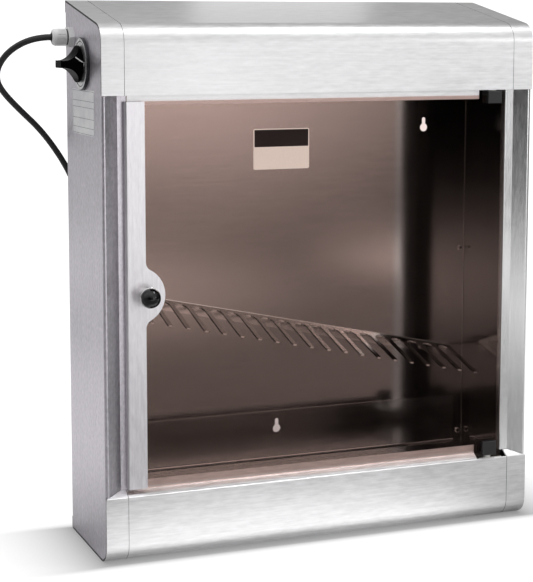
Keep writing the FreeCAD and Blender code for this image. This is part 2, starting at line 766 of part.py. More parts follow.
def starter():
    low = CEILING + SHEET + 5
    profile = [(0, 0), (0, STARTER_R), (STARTER_LENGTH, STARTER_R), (STARTER_LENGTH, 0)]
    return turned(profile, [0, 0.5, 2.5, 0], V(STARTER_X, STARTER_Y, low), V(0, 0, 1))


def terminal_block():
    """Three poles side by side, each with a wire hole and a screw well."""
    low = CEILING + SHEET
    x0 = BLOCK_X - BLOCK_LENGTH / 2
    y = (BLOCK_Y - BLOCK_WIDTH / 2, BLOCK_Y + BLOCK_WIDTH / 2)
    body = box((x0, x0 + BLOCK_LENGTH), y, (low, low + BLOCK_HEIGHT))
    cuts = []
    for k in range(3):
        x = x0 + BLOCK_LENGTH * (k + 0.5) / 3
        for end in y:
            cuts.append(rod(V(x, end, low + 6), V(0, 1 if end < BLOCK_Y else -1, 0), 7, 2.0))
        for dy in (-5, 5):
            cuts.append(rod(V(x, BLOCK_Y + dy, low + BLOCK_HEIGHT - 5), V(0, 0, 1), 6, 2.2))
    high = low + BLOCK_HEIGHT
    for k in (1, 2):
        x = x0 + BLOCK_LENGTH * k / 3
        cuts.append(box((x - 0.8, x + 0.8), (y[0] - 1, y[1] + 1), (high - 4, high + 1)))
    return body.cut(Part.makeCompound(cuts))


# Timer

def timer_screw_places():
    return [V(-SIDE, TIMER_Y + dy, TIMER_Z) for dy in (-14.0, 14.0)]


def timer_bezel():
    """A round escutcheon with a raised rim."""
    rim = BEZEL_RIM
    profile = [(0, SHAFT_R + 1.5), (0, BEZEL_R), (rim, BEZEL_R), (rim, BEZEL_R - 3.2),
               (BEZEL_THICK, BEZEL_R - 4.2), (BEZEL_THICK, SHAFT_R + 1.5)]
    plate = turned(profile, [0, 0, 1.2, 0.6, 0, 0], V(-SIDE, TIMER_Y, TIMER_Z), V(-1, 0, 0))
    holes = [rod(p + V(1, 0, 0), V(-1, 0, 0), 8, SMALL_SCREW_R) for p in timer_screw_places()]
    return plate.cut(Part.makeCompound(holes))


def timer_body():
    """The clockwork's can behind the panel, with a bore for its shaft."""
    profile = [(0, SHAFT_R + SHAFT_RUN), (0, TIMER_BODY_R), (TIMER_BODY_DEPTH, TIMER_BODY_R),
               (TIMER_BODY_DEPTH, SHAFT_R + SHAFT_RUN)]
    can = turned(profile, [0, 1, 2, 0], V(-SIDE_IN, TIMER_Y, TIMER_Z), V(1, 0, 0))
    tabs = []
    for dz in (-8, 8):
        tabs.append(box((-SIDE_IN + TIMER_BODY_DEPTH, -SIDE_IN + TIMER_BODY_DEPTH + 6), (-3.2, 3.2),
                        (TIMER_Z + dz - 0.4, TIMER_Z + dz + 0.4)))
    holes = [rod(p, V(1, 0, 0), 8, SMALL_SCREW_R) for p in timer_screw_places()]
    return joined([can] + tabs).cut(Part.makeCompound(holes))


def timer_screws():
    length = BEZEL_THICK + SHEET + 5
    made = [dome_screw(p - V(BEZEL_THICK, 0, 0), V(1, 0, 0), length, SMALL_SCREW_R, SMALL_HEAD_R, 1.0)
            for p in timer_screw_places()]
    return Part.makeCompound(made)


def knob_start():
    """Back face of the timer's knob, just proud of the screw heads."""
    return -SIDE - BEZEL_THICK - 1.0 - DIAL_GAP


def timer_knob():
    """A round skirt with a grip bar whose flanks are hollowed."""
    start = knob_start()
    top = SKIRT_THICK + KNOB_TALL
    half = GRIP / 2
    blank = turned([(0, 0), (0, SKIRT_R), (SKIRT_THICK, SKIRT_R), (top, SKIRT_R - 5.5), (top, 0)],
                   [0, 0.6, 1.0, 4.0, 0], V(start, TIMER_Y, TIMER_Z), V(-1, 0, 0))
    flanks = []
    for way in (-1, 1):
        flanks.append(knob_flank(start, top, half, way))
    hole = rod(V(start + 1, TIMER_Y, TIMER_Z), V(-1, 0, 0), 13, SHAFT_R)
    return blank.cut(Part.makeCompound(flanks)).cut(hole)


def knob_flank(start, top, half, way):
    """What is hollowed out on one side of the grip, as a curved wedge."""
    edge = SKIRT_R + 2
    lip = V(start - SKIRT_THICK, 0, TIMER_Z + way * (SKIRT_R + 0.5))
    crest = V(start - top - 1, 0, TIMER_Z + way * (half - 0.3))
    waist = V(start - SKIRT_THICK - 0.32 * KNOB_TALL, 0, TIMER_Z + way * (half + 3.2))
    outer = V(start - top - 1, 0, TIMER_Z + way * edge)
    side = V(start - SKIRT_THICK, 0, TIMER_Z + way * edge)
    edges = [Part.Arc(lip, waist, crest).toShape(), Part.makeLine(crest, outer),
             Part.makeLine(outer, side), Part.makeLine(side, lip)]
    face = Part.Face(Part.Wire(edges))
    face.translate(V(0, -edge, 0))
    return face.extrude(V(0, 2 * edge, 0))


def timer_shaft():
    start = knob_start() - 11
    length = -SIDE_IN + TIMER_BODY_DEPTH - 4 - start
    return rod(V(start, TIMER_Y, TIMER_Z), V(1, 0, 0), length, SHAFT_R)


# Cable gland

def hexagon(radius, x0, x1):
    """A six-sided bar along X round the gland's axis."""
    ring = []
    for k in range(6):
        a = math.radians(60 * k)
        ring.append((GLAND_Y + radius * math.cos(a), GLAND_Z + radius * math.sin(a)))
    return prism(ring, [], "x", x0, x1)


def gland_body():
    """Hexagon outside, thread through the panel, bore for the lead."""
    across = GLAND_BASE_R / math.cos(math.radians(30))
    bar = hexagon(across, -SIDE - GLAND_BASE, -SIDE)
    trim = turned([(0, 0), (0, across), (GLAND_BASE, across), (GLAND_BASE, 0)], [0, 1.2, 1.2, 0],
                  V(-SIDE, GLAND_Y, GLAND_Z), V(-1, 0, 0))
    neck_r = GLAND_THREAD_R - 0.6
    neck = rod(V(-SIDE - GLAND_BASE - GLAND_SEAL - 8, GLAND_Y, GLAND_Z), V(1, 0, 0), GLAND_SEAL + 9, neck_r)
    thread = rod(V(-SIDE, GLAND_Y, GLAND_Z), V(1, 0, 0), GLAND_INSIDE, GLAND_THREAD_R)
    bore = rod(V(-SIDE - 40, GLAND_Y, GLAND_Z), V(1, 0, 0), 80, CORD_R)
    return joined([bar.common(trim), neck, thread]).cut(bore)


def gland_nut():
    """Domed clamping nut with grip flats."""
    start = -SIDE - GLAND_BASE - GLAND_SEAL
    neck = GLAND_THREAD_R - 0.6
    grip = CORD_R + 1.5
    profile = [(0, neck), (0, GLAND_NUT_R), (GLAND_NUT, GLAND_NUT_R), (GLAND_NUT, grip), (8, grip), (8, neck)]
    nut = turned(profile, [0, 0.8, 4.5, 0.8, 0, 0], V(start, GLAND_Y, GLAND_Z), V(-1, 0, 0))
    ribs = []
    for k in range(12):
        a = math.radians(30 * k + 15)
        reach = GLAND_NUT_R + 0.5
        spot = V(start - 1.5, GLAND_Y + reach * math.cos(a), GLAND_Z + reach * math.sin(a))
        ribs.append(rod(spot, V(-1, 0, 0), 9, 0.9))
    return nut.cut(Part.makeCompound(ribs))


def gland_seal():
    """Rubber sleeve that grips the lead, and the ring behind the nut."""
    start = -SIDE - GLAND_BASE - GLAND_SEAL
    profile = [(8, CORD_R), (8, CORD_R + 1.5), (GLAND_NUT - 0.5, CORD_R + 1.5), (GLAND_NUT - 0.5, CORD_R)]
    sleeve = turned(profile, None, V(start, GLAND_Y, GLAND_Z), V(-1, 0, 0))
    neck = GLAND_THREAD_R - 0.6
    rim = GLAND_NUT_R - 0.8
    profile = [(0, neck), (0, rim), (GLAND_SEAL, rim), (GLAND_SEAL, neck)]
    ring = turned(profile, None, V(-SIDE - GLAND_BASE, GLAND_Y, GLAND_Z), V(-1, 0, 0))
    return Part.makeCompound([sleeve, ring])


def gland_locknut():
    nut = hexagon(GLAND_BASE_R + 1, -SIDE_IN, -SIDE_IN + LOCKNUT)
    return nut.cut(rod(V(-SIDE_IN - 1, GLAND_Y, GLAND_Z), V(1, 0, 0), LOCKNUT + 2, GLAND_THREAD_R))


# Door catch and switch, both on the left upright's inward edge

def catch_face():
    return STRIP_REAR + STRIKE + CATCH_GAP


def magnet_screw_places():
    y = catch_face() + MAGNET_Y * 0.45
    return [V(-OPEN_X - SHEET, y, KNOB_HEIGHT + dz) for dz in (-12.0, 12.0)]


def magnet_catch():
    y0 = catch_face()
    half = MAGNET_Z / 2
    z = (KNOB_HEIGHT - half, KNOB_HEIGHT + half)
    case = box((-OPEN_X, -OPEN_X + MAGNET_X), (y0 + 1.5, y0 + MAGNET_Y), z)
    case = eased(case, 1.0, lambda e: along(e, "x"))
    middle = -OPEN_X + MAGNET_X / 2
    poles = [box((middle + dx - 0.8, middle + dx + 0.8), (y0, y0 + 4), (KNOB_HEIGHT - 13, KNOB_HEIGHT + 13))
             for dx in (-2.6, 2.6)]
    holes = [rod(p, V(1, 0, 0), 9, SMALL_SCREW_R) for p in magnet_screw_places()]
    return joined([case] + poles).cut(Part.makeCompound(holes))


def strike_plate():
    """Steel plate on the back of the handle strip, which the magnet holds."""
    x0 = -OPEN_X + 0.6
    plate = box((x0, x0 + 11), (STRIP_REAR, STRIP_REAR + STRIKE), (KNOB_HEIGHT - 17, KNOB_HEIGHT + 17))
    return eased(plate, 2.0, lambda e: along(e, "y"))


def switch_screw_places():
    y = switch_face() + 2.5
    return [V(-OPEN_X - SHEET, y, SWITCH_Z + dz) for dz in (-9.0, 9.0)]


def switch_face():
    return STRIP_REAR + CATCH_GAP + PLUNGER_OUT


def plunger_axis_x():
    return -OPEN_X + SWITCH_X / 2


def door_switch():
    y0 = switch_face() - 2.0
    x = (-OPEN_X, -OPEN_X + SWITCH_X)
    case = box(x, (y0, y0 + SWITCH_Y), (SWITCH_Z - SWITCH_TALL / 2, SWITCH_Z + SWITCH_TALL / 2))
    case = eased(case, 1.0, lambda e: along(e, "x"))
    tabs = [box((plunger_axis_x() - 2.4, plunger_axis_x() + 2.4), (y0 + SWITCH_Y, y0 + SWITCH_Y + 6),
                (SWITCH_Z + dz - 0.4, SWITCH_Z + dz + 0.4)) for dz in (-9, 0, 9)]
    bore = rod(V(plunger_axis_x(), y0 - 1, SWITCH_Z), V(0, 1, 0), 15, PLUNGER_R + PLUNGER_RUN)
    holes = [rod(p, V(1, 0, 0), 8, SMALL_SCREW_R) for p in switch_screw_places()]
    return joined([case] + tabs).cut(bore).cut(Part.makeCompound(holes))


def switch_plunger():
    start = STRIP_REAR + CATCH_GAP
    profile = [(0, 0), (0, PLUNGER_R), (11, PLUNGER_R), (11, 0)]
    return turned(profile, [0, 1.6, 0, 0], V(plunger_axis_x(), start, SWITCH_Z), V(0, 1, 0))


def catch_screws():
    spots = magnet_screw_places() + switch_screw_places()
    made = [dome_screw(p, V(1, 0, 0), 7, SMALL_SCREW_R, SMALL_HEAD_R, SMALL_HEAD) for p in spots]
    return Part.makeCompound(made)


# Hinges

def bracket_low():
    """Underside of the lower hinge bracket's plate."""
    return FASCIA_EDGE + 1.5 - PLATE


def clip_low():
    """Lower face of the bottom clip."""
    return DOOR_LOW - CLIP_PROUD + 1.6


def clip_high():
    return DOOR_HIGH + CLIP_PROUD


def hinge_bracket_low():
    """Bent plate that stands on the floor and carries the lower bush."""
    top = bracket_low() + PLATE
    front = FRONT + SHEET + FIT
    back = FRAME + SHEET + 12
    x = (NOTCH_X + 2, OPEN_X - 2)
    ring = [(front, top), (back, top), (back, FLOOR + PLATE), (back + 14, FLOOR + PLATE), (back + 14, FLOOR),
            (back - PLATE, FLOOR), (back - PLATE, top - PLATE), (front, top - PLATE)]
    plate = prism(ring, [0, 2, 0, 0, 0, 0, 0, 0], "x", x[0], x[1])
    return plate.cut(rod(V(PIVOT_X, PIVOT_Y, FLOOR), V(0, 0, 1), 30, BUSH_R))


def hinge_bracket_high():
    """Plate above the soffit that carries the upper bush."""
    low = HOOD_EDGE + SHEET
    front = FRONT + SHEET + BEND_R - SHEET + FIT
    x = (PIVOT_X - 15, -SIDE + WIDTH - END_WIDTH - TONGUE - FIT)
    ring = [(front, low), (FRAME + SHEET, low), (FRAME + SHEET, low + PLATE),
            (front + PLATE, low + PLATE), (front + PLATE, low + 14), (front, low + 14)]
    plate = prism(ring, [0, 0, 0, 0, 0, 0], "x", x[0], x[1])
    return plate.cut(rod(V(PIVOT_X, PIVOT_Y, low - 1), V(0, 0, 1), 6, BUSH_R))


def bush(seat, mouth, sleeve_end, way):
    """A flanged bush: its flange lies on the seat, the sleeve goes through."""
    flange = abs(mouth - seat)
    sleeve = abs(sleeve_end - seat)
    inner = PIN_R + PIN_RUN
    profile = [(-flange, inner), (-flange, BUSH_FLANGE_R), (0, BUSH_FLANGE_R), (0, BUSH_R),
               (sleeve, BUSH_R), (sleeve, inner)]
    return turned(profile, [0, 0.5, 0, 0, 0, 0], V(PIVOT_X, PIVOT_Y, seat), V(0, 0, way))


def bush_high():
    return bush(HOOD_EDGE, clip_high() + HINGE_GAP, HOOD_EDGE + SHEET + PLATE, 1)


def bush_low():
    top = bracket_low() + PLATE
    return bush(top, clip_low() - HINGE_GAP, top - PLATE, -1)


def clip(low, high, cap_low, cap_high):
    """A block slotted for the pane's corner."""
    x0 = PIVOT_X - CLIP_WIDTH / 2
    y0 = PANE_FRONT - PAD - CLIP_FRONT
    y1 = PANE_BACK + PAD + CLIP_BACK
    block = box((x0, x0 + CLIP_WIDTH), (y0, y1), (low, high))
    block = eased(block, 0.8, lambda e: e.BoundBox.YMax < y0 + 0.01)
    slot = box((x0 - 1, x0 + CLIP_WIDTH + 1), (PANE_FRONT - PAD, PANE_BACK + PAD), (cap_low, cap_high))
    return block.cut(slot)


def clip_top():
    high = clip_high()
    body = clip(high - CLIP_HEIGHT, high, high - CLIP_HEIGHT - 1, DOOR_HIGH)
    body = body.cut(rod(V(PIVOT_X, PIVOT_Y, DOOR_HIGH), V(0, 0, 1), 20, PIN_R))
    return body.cut(rod(clip_screw_places()[0], V(0, -1, 0), CLIP_BACK + 1, SMALL_SCREW_R))


def clip_bottom():
    low = clip_low()
    body = clip(low, low + CLIP_HEIGHT + 3, DOOR_LOW, low + CLIP_HEIGHT + 4)
    body = body.cut(rod(V(PIVOT_X, PIVOT_Y, low - 1), V(0, 0, 1), 1 + DOOR_LOW - low, PIN_R))
    return body.cut(rod(clip_screw_places()[1], V(0, -1, 0), CLIP_BACK + 1, SMALL_SCREW_R))


def clip_screw_places():
    y = PANE_BACK + PAD + CLIP_BACK
    return [V(PIVOT_X, y, DOOR_HIGH - 4.5), V(PIVOT_X, y, DOOR_LOW + 7.0)]


def clip_screws():
    """Headless screws that press the pads on the pane."""
    return Part.makeCompound([rod(p, V(0, -1, 0), CLIP_BACK, SMALL_SCREW_R) for p in clip_screw_places()])


def clip_pads():
    """Thin rubber between each clip and the pane."""
    x = (PIVOT_X - CLIP_WIDTH / 2 + 0.5, PIVOT_X + CLIP_WIDTH / 2 - 0.5)
    heights = [(clip_high() - CLIP_HEIGHT + 0.5, DOOR_HIGH), (DOOR_LOW, clip_low() + CLIP_HEIGHT + 2.5)]
    pads = []
    for z in heights:
        pads.append(box(x, (PANE_FRONT - PAD, PANE_FRONT), z))
        pads.append(box(x, (PANE_BACK, PANE_BACK + PAD), z))
    return Part.makeCompound(pads)


def hinge_pins():
    high = rod(V(PIVOT_X, PIVOT_Y, DOOR_HIGH + 0.2), V(0, 0, 1), HOOD_EDGE + SHEET + PLATE - DOOR_HIGH, PIN_R)
    bottom = bracket_low() + 0.2
    low = rod(V(PIVOT_X, PIVOT_Y, bottom), V(0, 0, 1), DOOR_LOW - 0.2 - bottom, PIN_R)
    return Part.makeCompound([high, low])


# Door

def door_pane():
    left = DOOR_LEFT + STRIP_R + 0.1
    pane = box((left, DOOR_RIGHT), (PANE_FRONT, PANE_BACK), (DOOR_LOW, DOOR_HIGH))
    pane = eased(pane, 0.6, lambda e: e.BoundBox.XMin > DOOR_RIGHT - 0.01 and along(e, "z"))
    return pane.cut(rod(V(KNOB_X, PANE_FRONT - 1, KNOB_HEIGHT), V(0, 1, 0), PANE + 2, KNOB_SCREW / 2))


def lobe_outline():
    """The widened part behind the knob, with hollow corners to the strip."""
    edge = DOOR_LEFT + STRIP
    middle = DOOR_LEFT + LOBE_REACH - LOBE_R
    root = edge + LOBE_FILLET
    rise = math.sqrt((LOBE_R + LOBE_FILLET) ** 2 - (root - middle) ** 2)
    reach = LOBE_R / (LOBE_R + LOBE_FILLET)
    touch = (middle + (root - middle) * reach, rise * reach)
    bend = (math.atan2(-rise, middle - root) - math.pi) / 2
    halfway = (root + LOBE_FILLET * math.cos(bend), rise + LOBE_FILLET * math.sin(bend))

    def at(x, up):
        return V(x, 0, KNOB_HEIGHT + up)

    upper = Part.Arc(at(edge, rise), at(*halfway), at(*touch)).toShape()
    nose = Part.Arc(at(*touch), at(middle + LOBE_R, 0), at(touch[0], -touch[1])).toShape()
    lower = Part.Arc(at(touch[0], -touch[1]), at(halfway[0], -halfway[1]), at(edge, -rise)).toShape()
    inner = edge - STRIP / 3
    corners = [at(edge, -rise), at(inner, -rise), at(inner, rise), at(edge, rise)]
    lines = [Part.makeLine(a, b) for a, b in zip(corners, corners[1:])]
    return Part.Wire(Part.__sortEdges__([upper, nose, lower] + lines))


def handle_strip():
    """Folded channel over the pane's free edge, with the lobe for the knob."""
    path = [(DOOR_LEFT + STRIP_BACK, STRIP_REAR), (DOOR_LEFT, STRIP_REAR), (DOOR_LEFT, STRIP_FRONT),
            (DOOR_LEFT + STRIP, STRIP_FRONT)]
    channel = fold(path, [0, STRIP_R, STRIP_R, 0], STRIP_SHEET, "z", DOOR_LOW, DOOR_HIGH)
    lobe = Part.Face(lobe_outline())
    lobe.translate(V(0, STRIP_FRONT, 0))
    strip = joined([channel, lobe.extrude(V(0, STRIP_SHEET, 0))])
    hole = rod(V(KNOB_X, STRIP_FRONT - 1, KNOB_HEIGHT), V(0, 1, 0), 3, KNOB_SCREW / 2)
    return strip.cut(hole)


def knob_base():
    """Bright stem that ends in a shallow cup for the ball."""
    cup = KNOB_OFF - CUP_DEPTH + 1.5
    bore = KNOB_SCREW / 2
    profile = [(0, bore), (0, FOOT_R), (2, FOOT_R), (cup - 4, STEM_R), (cup, CUP_R), (cup + 2.2, CUP_R),
               (cup + 2.2, KNOB_R - 0.6), (cup + 1.0, bore)]
    return turned(profile, [0, 0.8, 1, 3, 1, 0.6, 0, 0], V(KNOB_X, STRIP_FRONT, KNOB_HEIGHT), V(0, -1, 0))


def pull_knob():
    """Glossy ball, flattened where it sits in the cup."""
    centre = V(KNOB_X, STRIP_FRONT - KNOB_OFF, KNOB_HEIGHT)
    ball = Part.makeSphere(KNOB_R, centre)
    ball = ball.cut(knob_base())
    flat = STRIP_FRONT - KNOB_OFF + BALL_BACK
    reach = 2 * KNOB_R
    z = (KNOB_HEIGHT - reach, KNOB_HEIGHT + reach)
    behind = box((KNOB_X - reach, KNOB_X + reach), (flat, STRIP_FRONT), z)
    return ball.cut(behind).cut(rod(centre, V(0, 1, 0), reach, KNOB_SCREW / 2))


def knob_screw():
    """Screw from behind the pane, through the strip and the stem into the ball."""
    head = V(KNOB_X, PANE_BACK, KNOB_HEIGHT)
    length = PANE_BACK - STRIP_FRONT + KNOB_OFF
    return dome_screw(head, V(0, -1, 0), length, KNOB_SCREW / 2, 3.8, 2.4)


# Mains lead

# The free lead, from the gland's mouth round the rear corner and down to the coil
CORD_POINTS = [
    (-281.0, 44.7, 568.6),
    (-293.0, 44.7, 568.6),
    (-312.0, 47.5, 563.5),
    (-327.0, 56.0, 553.0),
    (-335.0, 68.0, 539.5),
    (-336.0, 82.5, 525.5),
    (-328.5, 97.0, 510.5),
    (-308.0, 110.0, 490.0),
    (-272.0, 120.5, 457.0),
    (-239.0, 125.0, 407.0),
    (-216.0, 127.0, 338.0),
    (-206.0, 126.0, 260.0),
    (-200.0, 125.5, 177.0),
    (-190.0, 125.0, 108.0),
    (-166.0, 125.0, 55.0),
    (-132.0, 125.5, 22.0),
    (-90.0, 126.0, 8.0),
    (-36.0, 117.5, 3.9),
    (30.0, 118.8, 3.5),
]


def cord_points():
    """The route's points, with the last one where the coil begins."""
    return [V(*point) for point in CORD_POINTS] + [coil_start()]


def tube(points, radius):
    """Round tube: straight runs joined by arcs as large as the runs allow."""
    edges = []
    here = points[0]
    bends = []
    for before, at, after in zip(points, points[1:], points[2:]):
        back = (before - at)
        ahead = (after - at)
        shorter = min(back.Length, ahead.Length)
        back.normalize()
        ahead.normalize()
        turn = math.pi - back.getAngle(ahead)
        reach = 0.45 * shorter
        bend = reach / math.tan(turn / 2)
        bends.append(bend)
        start = at + back * reach
        end = at + ahead * reach
        middle = back + ahead
        middle.normalize()
        inside = at + middle * (bend / math.cos(turn / 2) - bend)
        edges.append(Part.makeLine(here, start))
        edges.append(Part.Arc(start, inside, end).toShape())
        here = end
    edges.append(Part.makeLine(here, points[-1]))
    path = Part.Wire(edges)
    ring = Part.Wire(Part.makeCircle(radius, points[0], points[1] - points[0]))
    return path.makePipeShell([ring], True, False), path, bends


def mains_cord():
    solid, path, bends = tube(cord_points(), CORD_R)
    expected = math.pi * CORD_R ** 2 * path.Length
    print("lead: length %.1f, volume ratio %.5f" % (path.Length, solid.Volume / expected))
    print("lead radii:", " ".join("%.0f" % bend for bend in bends))
    print("lead lowest %.2f" % solid.BoundBox.ZMin)
    return solid


def biarc(a, ta, b, tb):
    """Two arcs that leave a along ta and reach b along tb."""
    gap = b - a
    lean = gap.dot(ta + tb)
    spread = 2 * (1 - ta.dot(tb))
    reach = (-lean + math.sqrt(lean * lean + spread * gap.dot(gap))) / spread
    joint = (a + b + (ta - tb) * reach) * 0.5
    return [arc_from(a, ta, joint), arc_from(joint, None, b, tb)]


def arc_from(a, ta, b, tb=None):
    """The arc from a to b, with its direction given at one end."""
    chord = b - a
    if ta is None:
        back = arc_from(b, tb * -1, a)
        first = back.FirstParameter
        last = back.LastParameter
        return Part.Arc(*[back.valueAt(t) for t in (last, (first + last) / 2, first)]).toShape()
    side = ta.cross(chord)
    normal = side.cross(ta)
    normal.normalize()
    radius = chord.dot(chord) / (2 * chord.dot(normal))
    centre = a + normal * radius
    middle = (a + b) * 0.5 - centre
    middle.normalize()
    return Part.Arc(a, centre + middle * abs(radius), b).toShape()


def ease(share):
    """From 0 to 1 with level ends."""
    share = min(max(share, 0.0), 1.0)
    return share * share * (3 - 2 * share)


def coil_state(turns):
    """Radius, angle and height of the coil's centre line after some turns.

    It winds in, climbs one layer while it turns back, winds out and rises to the plug.
    """
    middle = COIL_TURNS
    angle = 2 * math.pi * turns
    radius = COIL_R + COIL_STEP * abs(turns - middle)
    z = CORD_R + TIE_LIFT * (1 - math.cos(angle)) / 2
    z += COIL_STEP * ease(2 * (turns - middle) + 0.5)
    z += PLUG_RISE * max(0.0, 2 * (turns - 2 * middle) + 1) ** 2
    return radius, angle, z


def coil_point(turns):
    radius, angle, z = coil_state(turns)
    return V(COIL_X + radius * math.sin(angle), COIL_Y - radius * math.cos(angle), z)


def coil_way(turns):
    step = 1e-4
    way = coil_point(turns + step) - coil_point(turns - step)
    way.normalize()
    return way


def coil_start():
    """Where the free lead meets the coil, one diameter before its first turn."""
    return coil_point(0) - coil_way(0) * (2 * CORD_R)


def coil_path():
    quarters = 8 * COIL_TURNS
    stops = [k / 4 for k in range(quarters + 1)]
    edges = [Part.makeLine(coil_start(), coil_point(0))]
    for a, b in zip(stops, stops[1:]):
        edges += biarc(coil_point(a), coil_way(a), coil_point(b), coil_way(b))
    edges.append(Part.makeLine(coil_point(stops[-1]), plug_mouth()))
    return edges


def plug_mouth():
    """Where the coil's straight end enters the plug."""
    last = 2 * COIL_TURNS
    return coil_point(last) + coil_way(last) * PLUG_RUN


def coil_gap(path):
    """Least distance between the cord's surface and itself, on points."""
    points = path.discretize(Distance=4.0)
    arc = [0.0]
    for a, b in zip(points, points[1:]):
        arc.append(arc[-1] + a.distanceToPoint(b))
    least = 1e9
    for i in range(len(points)):
        for j in range(i + 1, len(points)):
            if arc[j] - arc[i] > 6 * CORD_R:
                least = min(least, points[i].distanceToPoint(points[j]))
    return least - 2 * CORD_R


def mains_cord_coil():
    """The put-away length, wound in and out again in two layers."""
    path = Part.Wire(coil_path())
    start = coil_start()
    ring = Part.Wire(Part.makeCircle(CORD_R, start, coil_way(0)))
    solid = path.makePipeShell([ring], True, False)
    print("coil: length %.1f, least gap %.2f" % (path.Length, coil_gap(path)))
    return solid


def cord_tie():
    """A strap round the coil's four strands, on the side away from the casing."""
    low_r = COIL_R - CORD_R - TIE_GAP
    high_r = COIL_R + COIL_TURNS * COIL_STEP + CORD_R + TIE_GAP
    high_z = TIE_LIFT + 2 * CORD_R + COIL_STEP + TIE_GAP
    outer = [(low_r - TIE, 0), (high_r + TIE, 0), (high_r + TIE, high_z + TIE), (low_r - TIE, high_z + TIE)]
    inner = [(low_r, TIE), (high_r, TIE), (high_r, high_z), (low_r, high_z)]
    band = prism(outer, [CORD_R] * 4, "x", -TIE_WIDTH / 2, TIE_WIDTH / 2)
    hole = prism(inner, [CORD_R - TIE] * 4, "x", -TIE_WIDTH, TIE_WIDTH)
    strap = band.cut(hole)
    strap.translate(V(COIL_X, COIL_Y, 0))
    return strap


def mains_plug():
    """Moulded earthed plug, lying on the rim of its face."""
    profile = [(0, 0), (0, PLUG_TAIL_R), (16, PLUG_TAIL_R + 1), (PLUG_LENGTH - 20, PLUG_FACE),
               (PLUG_LENGTH - 14, PLUG_R), (PLUG_LENGTH, PLUG_R), (PLUG_LENGTH, 0)]
    body = turned(profile, [0, 1.5, 4, 8, 2, 1, 0], V(0, 0, 0), V(1, 0, 0))
    pins = [turned([(PLUG_LENGTH - 2, 0), (PLUG_LENGTH - 2, PLUG_PIN_R), (PLUG_LENGTH + PLUG_PIN, PLUG_PIN_R),
                    (PLUG_LENGTH + PLUG_PIN, 0)], [0, 0, 1.5, 0], V(0, dy, 0), V(1, 0, 0))
            for dy in (-PLUG_PIN_STEP, PLUG_PIN_STEP)]
    grooves = [box((6 + 5 * k, 8 + 5 * k), (-20, 20), (PLUG_TAIL_R - 1.2, 20)) for k in range(3)]
    plug = joined([body] + pins).cut(Part.makeCompound(grooves))
    way = coil_way(2 * COIL_TURNS)
    plug.Placement = FreeCAD.Placement(plug_mouth(), FreeCAD.Rotation(V(1, 0, 0), way))
    return plug


def build():
    os.makedirs("parts", exist_ok=True)
    side_l = left_side()
    save("side_panel_left", side_l)
    save("side_panel_right", right_side())
    save("back_panel", back_panel())
    save("hood", hood())
    save("hood_end_left", hood_end())
    save("hood_end_right", mirrored(hood_end()))
    save("base_fascia", base())
    save("fascia_end_left", base_end())
    save("fascia_end_right", mirrored(base_end()))
    save("floor_tray", floor_tray())
    save("liner_left", liner())
    save("liner_right", mirrored(liner()))
    save("lamp_trough", lamp_trough())
    save("casing_screws", casing_screws())
    save("knife_rack", comb())
    save("rack_rivets", comb_rivets())
    save("uv_lamp", lamp_tube())
    save("lamp_cap_left", lamp_cap(-1))
    save("lamp_cap_right", lamp_cap(1))
    save("lamp_holder_left", lamp_holder(-1))
    save("lamp_holder_right", lamp_holder(1))
    save("ballast", ballast())
    save("starter_base", starter_base())
    save("starter", starter())
    save("terminal_block", terminal_block())
    save("timer_bezel", timer_bezel())
    save("timer_body", timer_body())
    save("timer_screws", timer_screws())
    save("timer_knob", timer_knob())
    save("timer_shaft", timer_shaft())
    save("gland_body", gland_body())
    save("gland_nut", gland_nut())
    save("gland_seal", gland_seal())
    save("gland_locknut", gland_locknut())
    save("magnet_catch", magnet_catch())
    save("door_switch", door_switch())
    save("switch_plunger", switch_plunger())
    save("catch_screws", catch_screws())
    save("hinge_bracket_low", hinge_bracket_low())
    save("hinge_bracket_high", hinge_bracket_high())
    save("hinge_bush_low", bush_low())
    save("hinge_bush_high", bush_high())
    save("hinge_clip_top", clip_top())
    save("hinge_clip_bottom", clip_bottom())
    save("hinge_pins", hinge_pins())
    save("clip_pads", clip_pads())
    save("clip_screws", clip_screws())
    save("door_pane", door_pane())
    save("handle_strip", handle_strip())
    save("knob_base", knob_base())
    save("pull_knob", pull_knob())
    save("knob_screw", knob_screw())
    save("strike_plate", strike_plate())
    save("mains_cord", mains_cord())
    save("mains_cord_coil", mains_cord_coil())
    save("cord_tie", cord_tie())
    save("mains_plug", mains_plug())


build()
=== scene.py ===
"""Looks of the cabinet: its lead, materials, small marks, studio and camera.

Metres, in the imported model's frame: X runs to the right, Y to the back and Z up.
"""
import math
import bmesh
import bpy
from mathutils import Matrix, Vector


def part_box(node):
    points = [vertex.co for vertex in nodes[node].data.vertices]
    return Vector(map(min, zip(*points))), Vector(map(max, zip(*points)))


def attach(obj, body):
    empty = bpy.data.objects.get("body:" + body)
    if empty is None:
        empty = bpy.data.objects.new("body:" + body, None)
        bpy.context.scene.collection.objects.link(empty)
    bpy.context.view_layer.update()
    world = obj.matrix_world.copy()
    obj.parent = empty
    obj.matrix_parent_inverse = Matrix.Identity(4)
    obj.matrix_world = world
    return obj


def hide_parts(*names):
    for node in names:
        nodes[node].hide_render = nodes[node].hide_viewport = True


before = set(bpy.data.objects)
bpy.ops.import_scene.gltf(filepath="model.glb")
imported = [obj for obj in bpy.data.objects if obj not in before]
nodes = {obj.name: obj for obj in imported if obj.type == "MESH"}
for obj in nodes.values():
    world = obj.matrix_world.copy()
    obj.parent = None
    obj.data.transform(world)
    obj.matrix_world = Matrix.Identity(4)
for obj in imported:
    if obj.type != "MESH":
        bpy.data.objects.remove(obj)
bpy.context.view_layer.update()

RIGHT, FRONT, UP = Vector((1, 0, 0)), Vector((0, -1, 0)), Vector((0, 0, 1))

